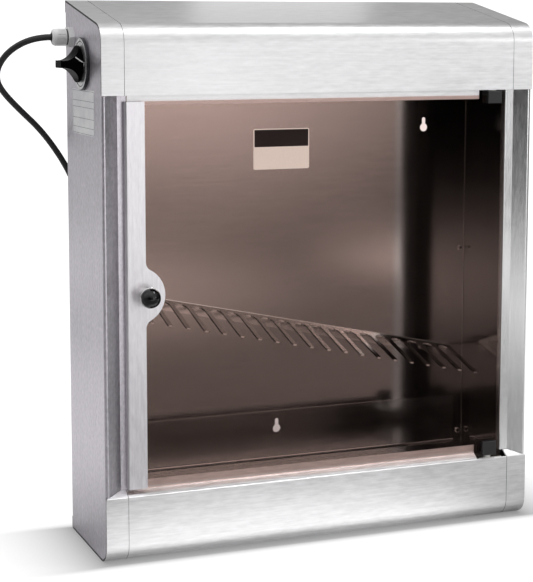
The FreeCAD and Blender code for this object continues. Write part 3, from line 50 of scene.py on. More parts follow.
# Camera, as the photograph was taken
CAMERA_PLACE = (-0.7135, -1.7153, 0.5815)
CAMERA_DOWN = 0.1166          # radians, and so is the next
CAMERA_RIGHT = 0.3721
LENS = 100.11
SENSOR = 36.0
SHIFT = -0.1306

# Mains lead
CORD_R = 0.0035
CORD_POINTS = [
    (-0.2810, 0.0447, 0.5686),
    (-0.2930, 0.0447, 0.5686),
    (-0.3120, 0.0475, 0.5635),
    (-0.3270, 0.0560, 0.5530),
    (-0.3350, 0.0680, 0.5395),
    (-0.3360, 0.0825, 0.5255),
    (-0.3285, 0.0970, 0.5105),
    (-0.3080, 0.1100, 0.4900),
    (-0.2720, 0.1205, 0.4570),
    (-0.2390, 0.1250, 0.4070),
    (-0.2160, 0.1270, 0.3380),
    (-0.2060, 0.1260, 0.2600),
    (-0.2000, 0.1255, 0.1770),
    (-0.1900, 0.1250, 0.1080),
    (-0.1660, 0.1250, 0.0550),
    (-0.1320, 0.1255, 0.0220),
    (-0.0900, 0.1260, 0.0080),
    (-0.0360, 0.1175, 0.0039),
    (0.0300, 0.1188, 0.0035),
]
COIL_PLACE = (0.071, 0.166)
COIL_R = 0.031                # innermost turn's centre line
COIL_STEP = 0.0076            # between turns, and between the two layers
COIL_TURNS = 2                # in each layer
TIE_LIFT = 0.0011             # how far the coil rests higher on its strap
PLUG_RISE = 0.00406           # of the last half turn, up to the plug
PLUG_RUN = 0.021              # straight into the plug
POINTS_PER_TURN = 16
A_LITTLE = 1e-3               # of a turn, to find which way the coil runs

# Plates and lines on the cabinet
PLATE_THICK = 0.0003
PLATE_R = 0.002
LINE = 0.0004
BACK_WALL = 0.072             # front face of the back panel
NOTICE = (0.0031, 0.4355)     # middle of the plate on the back wall
NOTICE_SIZE = (0.0714, 0.0484)
NOTICE_BAND = 0.42            # share of its height that is dark
LEFT_SIDE = -0.258
RATING = (0.0, 0.4875)        # middle of the plate on the left panel
RATING_SIZE = (0.092, 0.049)
RATING_ROWS = (0.012, 0.019, 0.031, 0.041)
TIMER_Z = 0.540
TICKS = 11
TICK_STEP = math.radians(30)
TICK_INNER = 0.0235
TICK_OUTER = 0.0262
POINTER = ((-0.2707, -0.0169, 0.5478), (-0.2631, -0.0199, 0.5420))
POINTER_WIDE = 0.0011
POINTER_FROM = (0.45, 0.88, -0.05)    # the way it is looked at
RAY_START = 0.05              # how far before a place its ray starts
SAME_PLACE = 1e-6
# dark crosses of painted shade where the screws' recesses are
RECESSES = [
    # screws, their body, the way their heads look, how wide the cross is
    ("casing_screws", "cabinet", (0, -1, 0), 0.0042),
    ("knob_screw", "door", (0, 1, 0), 0.0046),
    ("clip_screws", "door", (0, 1, 0), 0.0018),
]

# How materials are made. Noises are in waves for each metre.
NOISE_MIDDLE = (0.3, 0.7)     # a noise's middle range
ROUGH_RANGE = (0.85, 1.2)     # how far roughness wanders, as shares of it
SHEET_CLOUD = 9
SHEET_BROAD = 330             # across the broad streaks
SHEET_FINE_RUN = 14           # along the fine streaks
SHEET_BUMP = 0.0004
BROAD_SHARE = 0.6             # of the broad streaks in the grain
CLOUD_SHARE = 0.15            # of the clouds in the colour
CLOUD_ROUGH_SHARE = 0.5       # and in the roughness
CUT_FACING = 0.8              # how squarely a cut edge looks along its axis
# painted shade: cut edges darkened as the shadowed seams between sheets
CUT_EDGE_SHADE = (0.06, 0.06, 0.062)
SATIN_RANGE = (0.8, 1.25)
SATIN_HAZE = 60
SATIN_FINE = 1500
SATIN_SPREAD = 0.06
SATIN_STRENGTH = 0.08
PLASTIC_CLOUD = 25
PLASTIC_SPREAD = 0.09
PLASTIC_FINE_SHARE = 0.4      # of the fine grain in the colour
SMALL_BUMP = 0.0002

# Sheet steel
INNER = {"spread": 0.05, "strength": 0, "run": 30, "close": 240}
SHEETS = [
    # name, the axis it is ground along, colour, roughness, more settings, nodes
    ("steel_upright", "z", (0.90, 0.862, 0.915), 0.34, {}, ["handle_strip"]),
    ("steel_level", "x", (0.86, 0.855, 0.865), 0.34, {"cut": "X"},
     ["hood", "hood_end_left", "hood_end_right",
      "base_fascia", "fascia_end_left", "fascia_end_right"]),
    # the inner steel is darker than the outside steel: painted shade for the dim chamber
    ("steel_inner_level", "x", (0.46, 0.455, 0.45), 0.16, INNER, ["floor_tray", "lamp_trough"]),
    ("steel_side", "z", (0.95, 0.945, 0.96), 0.22, {"cut": "Z"}, ["side_panel_right"]),
]
LEFT_COLOUR = (0.76, 0.722, 0.778)
LEFT_ROUGH = 0.34
LEFT_LOOK = {"spread": 0.24, "strength": 0.4, "cut": "Z", "run": 200}
SLANT = (0.3, 0.8)            # how far the slanted face looks to the right, from and to
SLANT_FADE = (0.5, 0.1)       # heights between which its painted reflection darkens it
SLANT_REFLECTION_SHARE = 0.6
# painted reflection: the slanted face darkened as if it mirrored the dark gap beside the door
SLANT_PAINTED_REFLECTION = (0.02, 0.02, 0.02)
# darker than the outside steel: painted shade for the dim chamber
LINER_SHADED_COLOUR = (0.42, 0.415, 0.41)
LINER_ROUGH = 0.12
REAR_FACING = 0.9             # how squarely the back panel's rear looks back
REAR_ROUGH = 0.5
COMB_COLOUR = (0.62, 0.61, 0.60)
COMB_ROUGH = 0.12
COMB_LOOK = {"spread": 0.05, "strength": 0}
TIP_FRONT = -0.35             # fingertips look further to the front than this
TIP_SLOPE = 0.12              # and further up or down than this
# painted highlight: fingertips turned near white
TIP_HIGHLIGHT = (0.97, 0.95, 0.93)
TIP_ROUGH = 0.45
FOLD_FROM = 0.0675            # the comb's rear edge, where a painted highlight runs along the fold
FOLD_FACING = 0.5
FOLD_FADE = (-0.19, 0.08)     # along X
FOLD_REST = 0.1               # share of the painted highlight that is left after the fade
FOLD_HIGHLIGHT_COLOUR = (1.0, 0.96, 0.92)        # colour of its painted highlight
FOLD_HIGHLIGHT_GLOW = 0.55

# Other metals and plastics
METALS = [
    # name, colour, roughness, nodes
    ("steel_bright", (0.80, 0.79, 0.78), 0.16,
     ["casing_screws", "rack_rivets", "timer_screws", "catch_screws", "knob_screw", "clip_screws",
      "strike_plate", "knob_base", "hinge_pins", "hinge_bracket_low", "hinge_bracket_high",
      "timer_shaft"]),
    ("cap_aluminium", (0.78, 0.78, 0.78), 0.3, ["lamp_cap_left", "lamp_cap_right"]),
]
BEZEL_COLOUR = (0.96, 0.96, 0.98)
BEZEL_ROUGH = 0.42
BEZEL_RIM = 0.0277            # radius beyond which painted shade darkens the timer's plate
BEZEL_GROOVE = 0.0243
BEZEL_GROOVE_HALF = 0.0004
BEZEL_SHADE = (0.05, 0.05, 0.055)
FOIL_COLOUR = (0.96, 0.96, 1.0)
FOIL_ROUGH = 0.5
PLASTICS = [
    # name, colour, roughness, fine grain, its strength, nodes
    ("plastic_white", (0.80, 0.79, 0.76), 0.38, 700, 0.15,
     ["lamp_holder_left", "lamp_holder_right", "starter_base", "starter", "terminal_block"]),
    ("gear_enamel", (0.16, 0.165, 0.17), 0.45, 500, 0.3, ["ballast"]),
    ("gland_grey", (0.98, 0.98, 0.98), 0.42, 900, 0.2,
     ["gland_body", "gland_nut", "gland_locknut"]),
    ("plastic_black", (0.014, 0.014, 0.015), 0.28, 1100, 0.12,
     ["timer_body", "door_switch", "switch_plunger", "magnet_catch"]),
    ("clip_black", (0.016, 0.016, 0.017), 0.36, 1000, 0.2,
     ["hinge_clip_top", "hinge_clip_bottom"]),
    ("bush_plastic", (0.70, 0.69, 0.66), 0.4, 900, 0.15, ["hinge_bush_low", "hinge_bush_high"]),
    ("rubber_black", (0.022, 0.022, 0.023), 0.6, 800, 0.35,
     ["gland_seal", "clip_pads", "cord_tie"]),
    ("plug_black", (0.018, 0.018, 0.02), 0.38, 1000, 0.2, ["mains_plug"]),
    ("knob_black", (0.003, 0.003, 0.004), 0.06, 40, 0.02, ["pull_knob"]),
]
LEAD_RUBBER = ((0.018, 0.018, 0.02), 0.42, 900, 0.25)
DIAL_BLACK = ((0.002, 0.002, 0.0025), 0.16, 1100, 0.08)
DIAL_SPECULAR = 0.3
DIAL_IOR = 1.06
PAINTS = {
    # colour, roughness, fine grain, its strength, as in the two above
    "plate_cream": ((0.80, 0.79, 0.74), 0.5, 500, 0.05),
    "ink_dark": ((0.05, 0.048, 0.05), 0.5, 600, 0.05),
    "ink_grey": ((0.22, 0.22, 0.24), 0.5, 600, 0.05),
    "paint_white": ((0.82, 0.82, 0.80), 0.4, 500, 0.05),
    "recess_shadow": ((0.03, 0.03, 0.032), 0.6, 500, 0.05),
}
PAPER_PAINTED_LIGHT_COLOUR = (1.0, 0.98, 0.92)       # colour of the painted light on the plate on the back wall
PAPER_PAINTED_LIGHT = 0.62             # painted light: the plate glows though it is no lamp

# Glass
PANE_TINT = (0.765, 0.648, 0.612)     # of light that goes through the whole pane
PANE_SPREAD = 0.02
PANE_ROUGH = (0.0, 0.02)
PANE_IOR = 1.47
TUBE_CLOUD = 30
TUBE_TINTS = (0.80, 0.84, 0.88), (0.88, 0.91, 0.94)
TUBE_ROUGH = (0.05, 0.12)
TUBE_CLEAR = 0.6

# Studio
FLOOR_REACH = 3.0
FLOOR_SIDES = 96
FLOOR_WHITE = 0.95            # its own glow to the camera
FLOOR_GREY = 0.25             # its colour under the lights
FLOOR_SPREAD = 0.02
FLOOR_CLOUD = 3
FLOOR_ROUGH = (0.7, 0.8)
FLOOR_GLOW = 0.08             # its own glow in reflections
PAINTED_LIGHT_POOLS = [
    # middle of a pool of painted light on the floor, its squeeze along X and Y, its inner and
    # outer reach, how much it adds
    ((-0.03, -0.12), (1.0, 2.0), (0.14, 0.38), 0.92),
    ((-0.50, 0.65), (1.0, 1.0), (0.25, 0.85), 0.42),
    ((-0.10, -1.75), (1.0, 1.0), (0.45, 0.98), 0.75),
    ((1.50, 0.00), (1.0, 1.0), (0.50, 1.10), 0.55),
    ((-1.05, 2.20), (1.0, 1.0), (0.60, 1.10), 0.42),
    ((1.22, -1.75), (1.0, 1.0), (0.15, 0.46), 1.40),
    ((0.46, -0.30), (1.0, 1.5), (0.05, 0.24), 0.45),
]
FOOTPRINT = (0.258, 0.074)    # half the cabinet's width and depth
SHADOW_REACH = (0.065, 0.010)         # of the contact shadow, sideways and to the front
SHADOW_DEPTH = 0.76
SHADE_MIDDLE = (-0.01, 0.20)  # of the soft shadow behind the cabinet
SHADE_REACH = (0.30, 0.64)
SHADE_DEPTH = 0.88
SHADE_SLANT = 0.34
SHADE_BEHIND = (0.02, 0.12)   # along Y, where it comes in
LIGHTS = [
    # name, place, what it faces, width and height, radiance, fades: axis, start, end, share there
    ("key_low", (0.8, -2.2, 0.26), (0.8, 0, 0.26), (1.4, 0.52), 1.9,
     (("Z", 0.45, 0.0, 0.1), ("X", 0.75, 1.5, 0.15))),
    ("key", (0.8, -2.2, 0.96), (0.8, 0, 0.96), (1.4, 0.88), 0.49, (("X", 0.85, 1.5, 0.25),)),
    ("key_high", (1.62, -2.2, 0.95), (1.62, 0, 0.95), (1.0, 0.7), 3.0, ()),
    ("behind", (0.24, 0.62, 0.76), (0.24, 0, 0.76), (0.30, 0.35), 0.65, ()),
    ("spark", (0.74, -0.46, 2.2), (0.0, 0, 0.4), (0.30, 0.20), 30.0, ()),
]
ROOM_WHITE = 1.2              # the room as the camera sees it, like the floor's white
SKY = [
    # direction, cosine at which its glow starts, radiance there
    ((0.4, 0.9, 0), 0.0, 0.16),
    ((-0.8, 0.6, 0), 0.0, 0.42),
    ((1, 0, 0), 0.0, 0.05),
    ((0, 0, 1), 0.2, 0.4),
    ((0.25, -0.7, 0.67), 0.6, 0.65),
    ((-0.5, 0, 0.87), 0.5, 0.6),
]


# Camera and lead

def placed(name, data):
    """A new object in the scene."""
    made = bpy.data.objects.new(name, data)
    bpy.context.scene.collection.objects.link(made)
    return made


def camera():
    made = placed("camera", bpy.data.cameras.new("camera"))
    made.location = CAMERA_PLACE
    made.rotation_euler = (math.pi / 2 - CAMERA_DOWN, 0, -CAMERA_RIGHT)
    made.data.lens = LENS
    made.data.sensor_width = SENSOR
    made.data.shift_y = SHIFT
    bpy.context.scene.camera = made


def ease(share):
    share = min(1.0, max(0.0, share))
    return share * share * (3 - 2 * share)


def coil_point(turns, stretch=1.0):
    """The coil's centre line: in, up a layer while it turns back, out, and up to the plug."""
    angle = 2 * math.pi * turns
    radius = stretch * (COIL_R + COIL_STEP * abs(turns - COIL_TURNS))
    z = CORD_R + TIE_LIFT * (1 - math.cos(angle)) / 2
    z += COIL_STEP * ease(2 * (turns - COIL_TURNS) + 0.5)
    z += PLUG_RISE * max(0.0, 2 * (turns - 2 * COIL_TURNS) + 1) ** 2
    x, y = COIL_PLACE
    return Vector((x + radius * math.sin(angle), y - radius * math.cos(angle), z))


def cord_route():
    """The route's own points, then the coil's, set out so that the curve keeps its radius."""
    last = 2 * COIL_TURNS
    stretch = 1 / math.cos(math.pi / POINTS_PER_TURN)
    turns = [coil_point(k / POINTS_PER_TURN, stretch) for k in range(last * POINTS_PER_TURN)]
    end = coil_point(last)
    way = (coil_point(last + A_LITTLE) - coil_point(last - A_LITTLE)).normalized()
    return [Vector(p) for p in CORD_POINTS] + turns + [end, end + way * PLUG_RUN]


def mains_lead():
    curve = bpy.data.curves.new("mains_lead", "CURVE")
    curve.dimensions = "3D"
    curve.bevel_depth = CORD_R
    curve.bevel_resolution = 4
    curve.resolution_u = 10
    curve.use_fill_caps = True
    points = cord_route()
    spline = curve.splines.new("NURBS")
    spline.points.add(len(points) - 1)
    for place, point in zip(points, spline.points):
        point.co = (*place, 1)
    spline.order_u = 3
    spline.use_endpoint_u = True
    made = placed("mains_lead", curve)
    curve.materials.append(plastic("lead_rubber", *LEAD_RUBBER))
    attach(made, "cabinet")
    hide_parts("mains_cord", "mains_cord_coil")


# Material helpers

NUMBER_SUMS = ("LENGTH", "DISTANCE", "DOT_PRODUCT")
MIX_SOCKETS = {"FLOAT": (2, 3, 0), "RGBA": (6, 7, 2)}     # a Mix node's two inputs and its output


def put(tree, value, socket):
    """Gives a socket a value or another node's output."""
    if isinstance(value, bpy.types.NodeSocket):
        tree.links.new(value, socket)
    else:
        socket.default_value = value


def add(tree, kind, settings=None, **inputs):
    """A node with its settings and its inputs, each a value or another node's output."""
    made = tree.nodes.new(kind)
    for name, value in (settings or {}).items():
        setattr(made, name, value)
    for name, value in inputs.items():
        put(tree, value, made.inputs[name.replace("_", " ")])
    return made


def blank(name):
    """A new material with its node tree and its shader."""
    made = bpy.data.materials.new(name)
    made.use_nodes = True
    return made, made.node_tree, made.node_tree.nodes["Principled BSDF"]


def sums(tree, kind, operation, values):
    made = add(tree, kind, {"operation": operation})
    for value, socket in zip(values, made.inputs):
        put(tree, value, socket)
    return made.outputs


def combined(tree, operation, *values):
    """A sum on numbers or other nodes' outputs."""
    return sums(tree, "ShaderNodeMath", operation, values)[0]


def vector(tree, operation, *values):
    """A sum on places, each three numbers or another node's output: a place or a number."""
    outputs = sums(tree, "ShaderNodeVectorMath", operation, values)
    return outputs["Value" if operation in NUMBER_SUMS else "Vector"]


def between(tree, kind, share, a, b):
    """A number or a colour: a where the share is 0, and b where it is 1."""
    made = add(tree, "ShaderNodeMix", {"data_type": kind}, Factor=share)
    first, second, out = MIX_SOCKETS[kind]
    put(tree, a, made.inputs[first])
    put(tree, b, made.inputs[second])
    return made.outputs[out]


def fade(tree, value, start, end, low=0.0, high=1.0, shape="LINEAR"):
    """A number that goes from low to high while a value goes from start to end."""
    made = add(tree, "ShaderNodeMapRange", {"interpolation_type": shape}, Value=value,
               From_Min=start, From_Max=end, To_Min=low, To_Max=high)
    return made.outputs[0]


def split(tree, value):
    """X, Y and Z of a place or a direction."""
    return add(tree, "ShaderNodeSeparateXYZ", Vector=value).outputs


def own_place(tree):
    """The place on the surface, in the object's own space."""
    return add(tree, "ShaderNodeTexCoord").outputs["Object"]


def facing(tree):
    """X, Y and Z of the way the surface looks."""
    return split(tree, add(tree, "ShaderNodeNewGeometry").outputs["Normal"])


def seen_by_camera(tree):
    return add(tree, "ShaderNodeLightPath").outputs["Is Camera Ray"]


def noise(tree, scale):
    """Noise in the object's own space, by its scale along each axis."""
    spread = add(tree, "ShaderNodeMapping", Vector=own_place(tree), Scale=scale)
    made = add(tree, "ShaderNodeTexNoise", Vector=spread.outputs[0], Scale=1.0, Detail=3.0)
    return made.outputs[0]


def clouds(tree, scale):
    """Noise that is alike along every axis."""
    return noise(tree, (scale,) * 3)


def streaks(tree, along, fine, run):
    """Noise that is drawn out along one axis."""
    scale = [fine] * 3
    scale["xyz".index(along)] = run
    return noise(tree, scale)


def mixed(tree, a, b, share):
    """Two noises added, the second by its share."""
    return combined(tree, "MULTIPLY_ADD", b, share, combined(tree, "MULTIPLY", a, 1 - share))


def ranged(tree, value, low, high):
    """The middle range of a noise, brought to the range from low to high."""
    return fade(tree, value, *NOISE_MIDDLE, low, high)


def tinted(tree, value, dark, light):
    """A colour between two, by a noise's middle range."""
    ramp = tree.nodes.new("ShaderNodeValToRGB")
    for element, position, colour in zip(ramp.color_ramp.elements, NOISE_MIDDLE, (dark, light)):
        element.position = position
        element.color = (*colour, 1)
    tree.links.new(value, ramp.inputs[0])
    return ramp.outputs[0]


def shades(colour, spread):
    """A darker and a lighter shade of a colour."""
    return [c * (1 - spread) for c in colour], [min(1.0, c * (1 + spread)) for c in colour]


def clouded(tree, shader, colour, spread, colour_noise, rough, rough_noise, limits=ROUGH_RANGE):
    """Gives a shader a colour and a roughness that each wander with a noise."""
    low, high = limits
    put(tree, tinted(tree, colour_noise, *shades(colour, spread)), shader.inputs["Base Color"])
    put(tree, ranged(tree, rough_noise, rough * low, rough * high), shader.inputs["Roughness"])


def bumped(tree, shader, height, strength, distance):
    made = add(tree, "ShaderNodeBump", Height=height, Strength=strength, Distance=distance)
    tree.links.new(made.outputs[0], shader.inputs["Normal"])


def altered(tree, shader, name, kind, share, value):
    """Gives one of a shader's inputs another value where the share is 1."""
    socket = shader.inputs[name]
    tree.links.new(between(tree, kind, share, socket.links[0].from_socket, value), socket)


def recoloured(tree, shader, share, colour):
    altered(tree, shader, "Base Color", "RGBA", share, (*colour, 1))


def roughened(tree, shader, share, rough):
    altered(tree, shader, "Roughness", "FLOAT", share, rough)


# Materials

def brushed(name, along, colour, rough, spread=0.14, strength=0.25, cut=None, run=70, close=1100):
    """Sheet steel ground along one axis, with slow clouds, and with painted shade on edges cut
    across another.

    It gives the material, its node tree and its shader.
    """
    made, tree, shader = blank(name)
    fine = streaks(tree, along, close, SHEET_FINE_RUN)
    broad = streaks(tree, along, SHEET_BROAD, run)
    cloud = clouds(tree, SHEET_CLOUD)
    grain = mixed(tree, fine, broad, BROAD_SHARE)
    clouded(tree, shader, colour, spread, mixed(tree, grain, cloud, CLOUD_SHARE),
            rough, mixed(tree, broad, cloud, CLOUD_ROUGH_SHARE))
    shader.inputs["Metallic"].default_value = 1.0
    if strength:
        bumped(tree, shader, grain, strength, SHEET_BUMP)
    if cut:
        side = combined(tree, "ABSOLUTE", facing(tree)[cut])
        # painted shade on the cut edges, the dark seam lines between sheets
        recoloured(tree, shader, combined(tree, "GREATER_THAN", side, CUT_FACING), CUT_EDGE_SHADE)
    return made, tree, shader


def left_steel():
    """The left panel: its slanted face gets a painted reflection of the dark gap beside the door,
    stronger low down.
    """
    made, tree, shader = brushed("steel_panel", "z", LEFT_COLOUR, LEFT_ROUGH, **LEFT_LOOK)
    turned = facing(tree)["X"]
    low, high = SLANT
    slanted = combined(tree, "MULTIPLY", combined(tree, "GREATER_THAN", turned, low),
                       combined(tree, "LESS_THAN", turned, high))
    dark = fade(tree, split(tree, own_place(tree))["Z"], *SLANT_FADE, 0.0, SLANT_REFLECTION_SHARE)
    # painted reflection of the dark gap, darker low down
    recoloured(tree, shader, combined(tree, "MULTIPLY", slanted, dark), SLANT_PAINTED_REFLECTION)
    return made


def liner_steel():
    """The chamber's walls, darker than the outside steel as painted shade: polished inside, dull
    on the back panel's rear.
    """
    made, tree, shader = brushed("steel_inner", "x", LINER_SHADED_COLOUR, LINER_ROUGH, **INNER)
    rear = combined(tree, "GREATER_THAN", facing(tree)["Y"], REAR_FACING)
    roughened(tree, shader, rear, REAR_ROUGH)
    return made


def comb_steel():
    """The comb's sheet, with painted highlights on its fingertips and along its fold."""
    made, tree, shader = brushed("steel_rack", "x", COMB_COLOUR, COMB_ROUGH, **COMB_LOOK)
    looks = facing(tree)
    front = combined(tree, "LESS_THAN", looks["Y"], TIP_FRONT)
    slope = combined(tree, "ABSOLUTE", looks["Z"])
    tip = combined(tree, "MULTIPLY", front, combined(tree, "GREATER_THAN", slope, TIP_SLOPE))
    recoloured(tree, shader, tip, TIP_HIGHLIGHT)
    roughened(tree, shader, tip, TIP_ROUGH)
    place = split(tree, own_place(tree))
    fold = combined(tree, "MULTIPLY", combined(tree, "GREATER_THAN", place["Y"], FOLD_FROM),
                    combined(tree, "GREATER_THAN", looks["Z"], FOLD_FACING))
    fold = combined(tree, "MULTIPLY", fold, fade(tree, place["X"], *FOLD_FADE, 1.0, FOLD_REST))
    # painted highlight: the fold glows though it is no lamp
    shader.inputs["Emission Color"].default_value = (*FOLD_HIGHLIGHT_COLOUR, 1)
    put(tree, combined(tree, "MULTIPLY", fold, FOLD_HIGHLIGHT_GLOW), shader.inputs["Emission Strength"])
    return made


def satin(name, colour, rough):
    """Bright metal with a faint even haze."""
    made, tree, shader = blank(name)
    haze = clouds(tree, SATIN_HAZE)
    clouded(tree, shader, colour, SATIN_SPREAD, haze, rough, haze, SATIN_RANGE)
    shader.inputs["Metallic"].default_value = 1.0
    bumped(tree, shader, clouds(tree, SATIN_FINE), SATIN_STRENGTH, SMALL_BUMP)
    return made


def plastic(name, colour, rough, grain, strength):
    """Moulded plastic or rubber: slow clouds in its colour and a fine moulded grain."""
    made, tree, shader = blank(name)
    cloud = clouds(tree, PLASTIC_CLOUD)
    fine = clouds(tree, grain)
    grain_colour = mixed(tree, cloud, fine, PLASTIC_FINE_SHARE)
    clouded(tree, shader, colour, PLASTIC_SPREAD, grain_colour, rough, cloud)
    bumped(tree, shader, fine, strength, SMALL_BUMP)
    return made


def dial():
    """The timer knob's black, which mirrors little."""
    made = plastic("dial_black", *DIAL_BLACK)
    shader = made.node_tree.nodes["Principled BSDF"]
    shader.inputs["Specular IOR Level"].default_value = DIAL_SPECULAR
    shader.inputs["IOR"].default_value = DIAL_IOR
    return made


def paper():
    """The cream of the plate on the back wall, with painted light: a glow of its own, though it is
    no lamp.
    """
    made = plastic("plate_cream", *PAINTS["plate_cream"])
    shader = made.node_tree.nodes["Principled BSDF"]
    shader.inputs["Emission Color"].default_value = (*PAPER_PAINTED_LIGHT_COLOUR, 1)
    shader.inputs["Emission Strength"].default_value = PAPER_PAINTED_LIGHT
    return made


def bezel():
    """The timer's silver plate, with painted shade on its rim and in a groove inside it."""
    made = satin("bezel_silver", BEZEL_COLOUR, BEZEL_ROUGH)
    tree = made.node_tree
    flat = vector(tree, "MULTIPLY", own_place(tree), (0, 1, 1))
    away = vector(tree, "DISTANCE", flat, (0, 0, TIMER_Z))
    rim = combined(tree, "GREATER_THAN", away, BEZEL_RIM)
    off = combined(tree, "ABSOLUTE", combined(tree, "SUBTRACT", away, BEZEL_GROOVE))
    groove = combined(tree, "LESS_THAN", off, BEZEL_GROOVE_HALF)
    # painted shade on the rim and in the groove
    dark = combined(tree, "MAXIMUM", rim, groove)
    recoloured(tree, tree.nodes["Principled BSDF"], dark, BEZEL_SHADE)
    return made


def pane():
    """Lightly smoked glazing, which all but rays bent by other glass go straight through."""
    made, tree, shader = blank("pane_smoke")
    cloud = clouds(tree, SHEET_CLOUD)
    put(tree, tinted(tree, cloud, *shades(PANE_TINT, PANE_SPREAD)), shader.inputs["Base Color"])
    put(tree, ranged(tree, cloud, *PANE_ROUGH), shader.inputs["Roughness"])
    shader.inputs["IOR"].default_value = PANE_IOR
    shader.inputs["Transmission Weight"].default_value = 1.0
    face = [math.sqrt(c) for c in PANE_TINT]
    clear = add(tree, "ShaderNodeBsdfTransparent", Color=(*face, 1))
    path = add(tree, "ShaderNodeLightPath")
    both = add(tree, "ShaderNodeMixShader", Fac=path.outputs["Is Transmission Ray"])
    tree.links.new(clear.outputs[0], both.inputs[1])
    tree.links.new(shader.outputs[0], both.inputs[2])
    tree.links.new(both.outputs[0], tree.nodes["Material Output"].inputs["Surface"])
    return made


def tube_glass():
    made, tree, shader = blank("tube_glass")
    cloud = clouds(tree, TUBE_CLOUD)
    put(tree, tinted(tree, cloud, *TUBE_TINTS), shader.inputs["Base Color"])
    put(tree, ranged(tree, cloud, *TUBE_ROUGH), shader.inputs["Roughness"])
    shader.inputs["Transmission Weight"].default_value = TUBE_CLEAR
    return made


def finish(material, *names):
    """Gives CAD nodes their material."""
    for name in names:
        mesh = nodes[name].data
        mesh.materials.clear()
        mesh.materials.append(material)


def finish_all():
    for *look, more, names in SHEETS:
        finish(brushed(*look, **more)[0], *names)
    finish(left_steel(), "side_panel_left")
    finish(liner_steel(), "back_panel", "liner_left", "liner_right")
    finish(comb_steel(), "knife_rack")
    for *look, names in METALS:
        finish(satin(*look), *names)
    for *look, names in PLASTICS:
        finish(plastic(*look), *names)
    finish(bezel(), "timer_bezel")
    finish(dial(), "timer_knob")
    finish(tube_glass(), "uv_lamp")
    finish(pane(), "door_pane")


# Marks and small details

def shown(name, shape, material, body):
    """A new piece of the object, which moves with a body."""
    bmesh.ops.recalc_face_normals(shape, faces=shape.faces)
    mesh = bpy.data.meshes.new(name)
    shape.to_mesh(mesh)
    shape.free()
    made = placed(name, mesh)
    mesh.materials.append(material)
    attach(made, body)


def rounded_outline(width, height, radius, steps=5):
    """Corner points of a rounded rectangle round its middle."""
    points = []
    for k in range(4):
        cx = (width / 2 - radius) * (1 if k in (0, 3) else -1)
        cy = (height / 2 - radius) * (1 if k in (0, 1) else -1)
        for step in range(steps + 1):
            angle = math.pi / 2 * (k + step / steps)
            points.append((cx + radius * math.cos(angle), cy + radius * math.sin(angle)))
    return points


def stroke(length, width):
    """Outline of a line with its corners just taken off."""
    return rounded_outline(length, width, LINE / 4, 1)


def slab(shape, middle, across, up, points, thick):
    """Adds a flat plate to a shape: its outline stands on a plane and rises along across x up."""
    out = across.cross(up)
    low = [shape.verts.new(middle + across * u + up * v) for u, v in points]
    high = [shape.verts.new(v.co + out * thick) for v in low]
    shape.faces.new(high)
    shape.faces.new(list(reversed(low)))
    for k in range(len(points)):
        after = (k + 1) % len(points)
        shape.faces.new((low[k], low[after], high[after], high[k]))


def notice_plate(paint, ink):
    """A plain two-tone plate on the back wall, with no words on it."""
    width, height = NOTICE_SIZE
    middle = Vector((NOTICE[0], BACK_WALL, NOTICE[1]))
    shape = bmesh.new()
    slab(shape, middle, RIGHT, UP, rounded_outline(width, height, PLATE_R), PLATE_THICK)
    shown("notice_plate", shape, paint, "cabinet")
    band = height * NOTICE_BAND
    edge = 3 * LINE
    top = middle + UP * ((height - band) / 2 - edge) + FRONT * PLATE_THICK
    shape = bmesh.new()
    outline = rounded_outline(width - 2 * edge, band, PLATE_R / 2)
    slab(shape, top, RIGHT, UP, outline, PLATE_THICK / 3)
    shown("notice_band", shape, ink, "cabinet")


def rating_plate(foil, ink):
    """A bare foil plate under the timer, with its border and its ruled rows."""
    width, height = RATING_SIZE
    middle = Vector((LEFT_SIDE, *RATING))
    shape = bmesh.new()
    slab(shape, middle, FRONT, UP, rounded_outline(width, height, PLATE_R), PLATE_THICK)
    shown("rating_plate", shape, foil, "cabinet")
    shape = bmesh.new()
    face = middle - RIGHT * PLATE_THICK
    edge = 3 * LINE
    inner = width - 10 * LINE
    for row in (edge, *RATING_ROWS, height - edge):
        spot = face + UP * (height / 2 - row)
        slab(shape, spot, FRONT, UP, stroke(inner, LINE), PLATE_THICK / 4)
    for way in (-1, 1):
        spot = face + FRONT * (way * inner / 2)
        slab(shape, spot, FRONT, UP, stroke(LINE, height - 2 * edge), PLATE_THICK / 4)
    shown("rating_lines", shape, ink, "cabinet")


def timer_marks(ink, paint):
    """Ticks round the timer's plate, and the white line on its knob."""
    low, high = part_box("timer_bezel")
    middle = Vector((low.x, (low.y + high.y) / 2, TIMER_Z))
    line = rounded_outline(TICK_OUTER - TICK_INNER, 1.5 * LINE, LINE / 3, 1)
    shape = bmesh.new()
    for k in range(TICKS):
        angle = math.pi - k * TICK_STEP
        out = FRONT * math.cos(angle) + UP * math.sin(angle)
        side = FRONT * -math.sin(angle) + UP * math.cos(angle)
        slab(shape, middle + out * (TICK_INNER + TICK_OUTER) / 2, out, side, line, PLATE_THICK / 3)
    shown("timer_ticks", shape, ink, "cabinet")
    start, end = map(Vector, POINTER)
    shape = inlay(nodes["timer_knob"], start, end, POINTER_WIDE, Vector(POINTER_FROM).normalized())
    shown("timer_pointer", shape, paint, "timer_dial")


def inlay(on, start, end, width, way, steps=24):
    """A painted line that lies on a node, between two places there, looked at along a way."""
    side = way.cross(end - start).normalized() * width / 2
    shape = bmesh.new()
    before = None
    for k in range(steps + 1):
        pair = []
        for sign in (-1, 1):
            place = start.lerp(end, k / steps) + side * sign
            hit, spot = on.ray_cast(place - way * RAY_START, way)[:2]
            if hit:
                pair.append(shape.verts.new(spot - way * PLATE_THICK / 3))
        if len(pair) < 2:
            break
        if before:
            shape.faces.new((before[0], before[1], pair[1], pair[0]))
        before = pair
    return shape


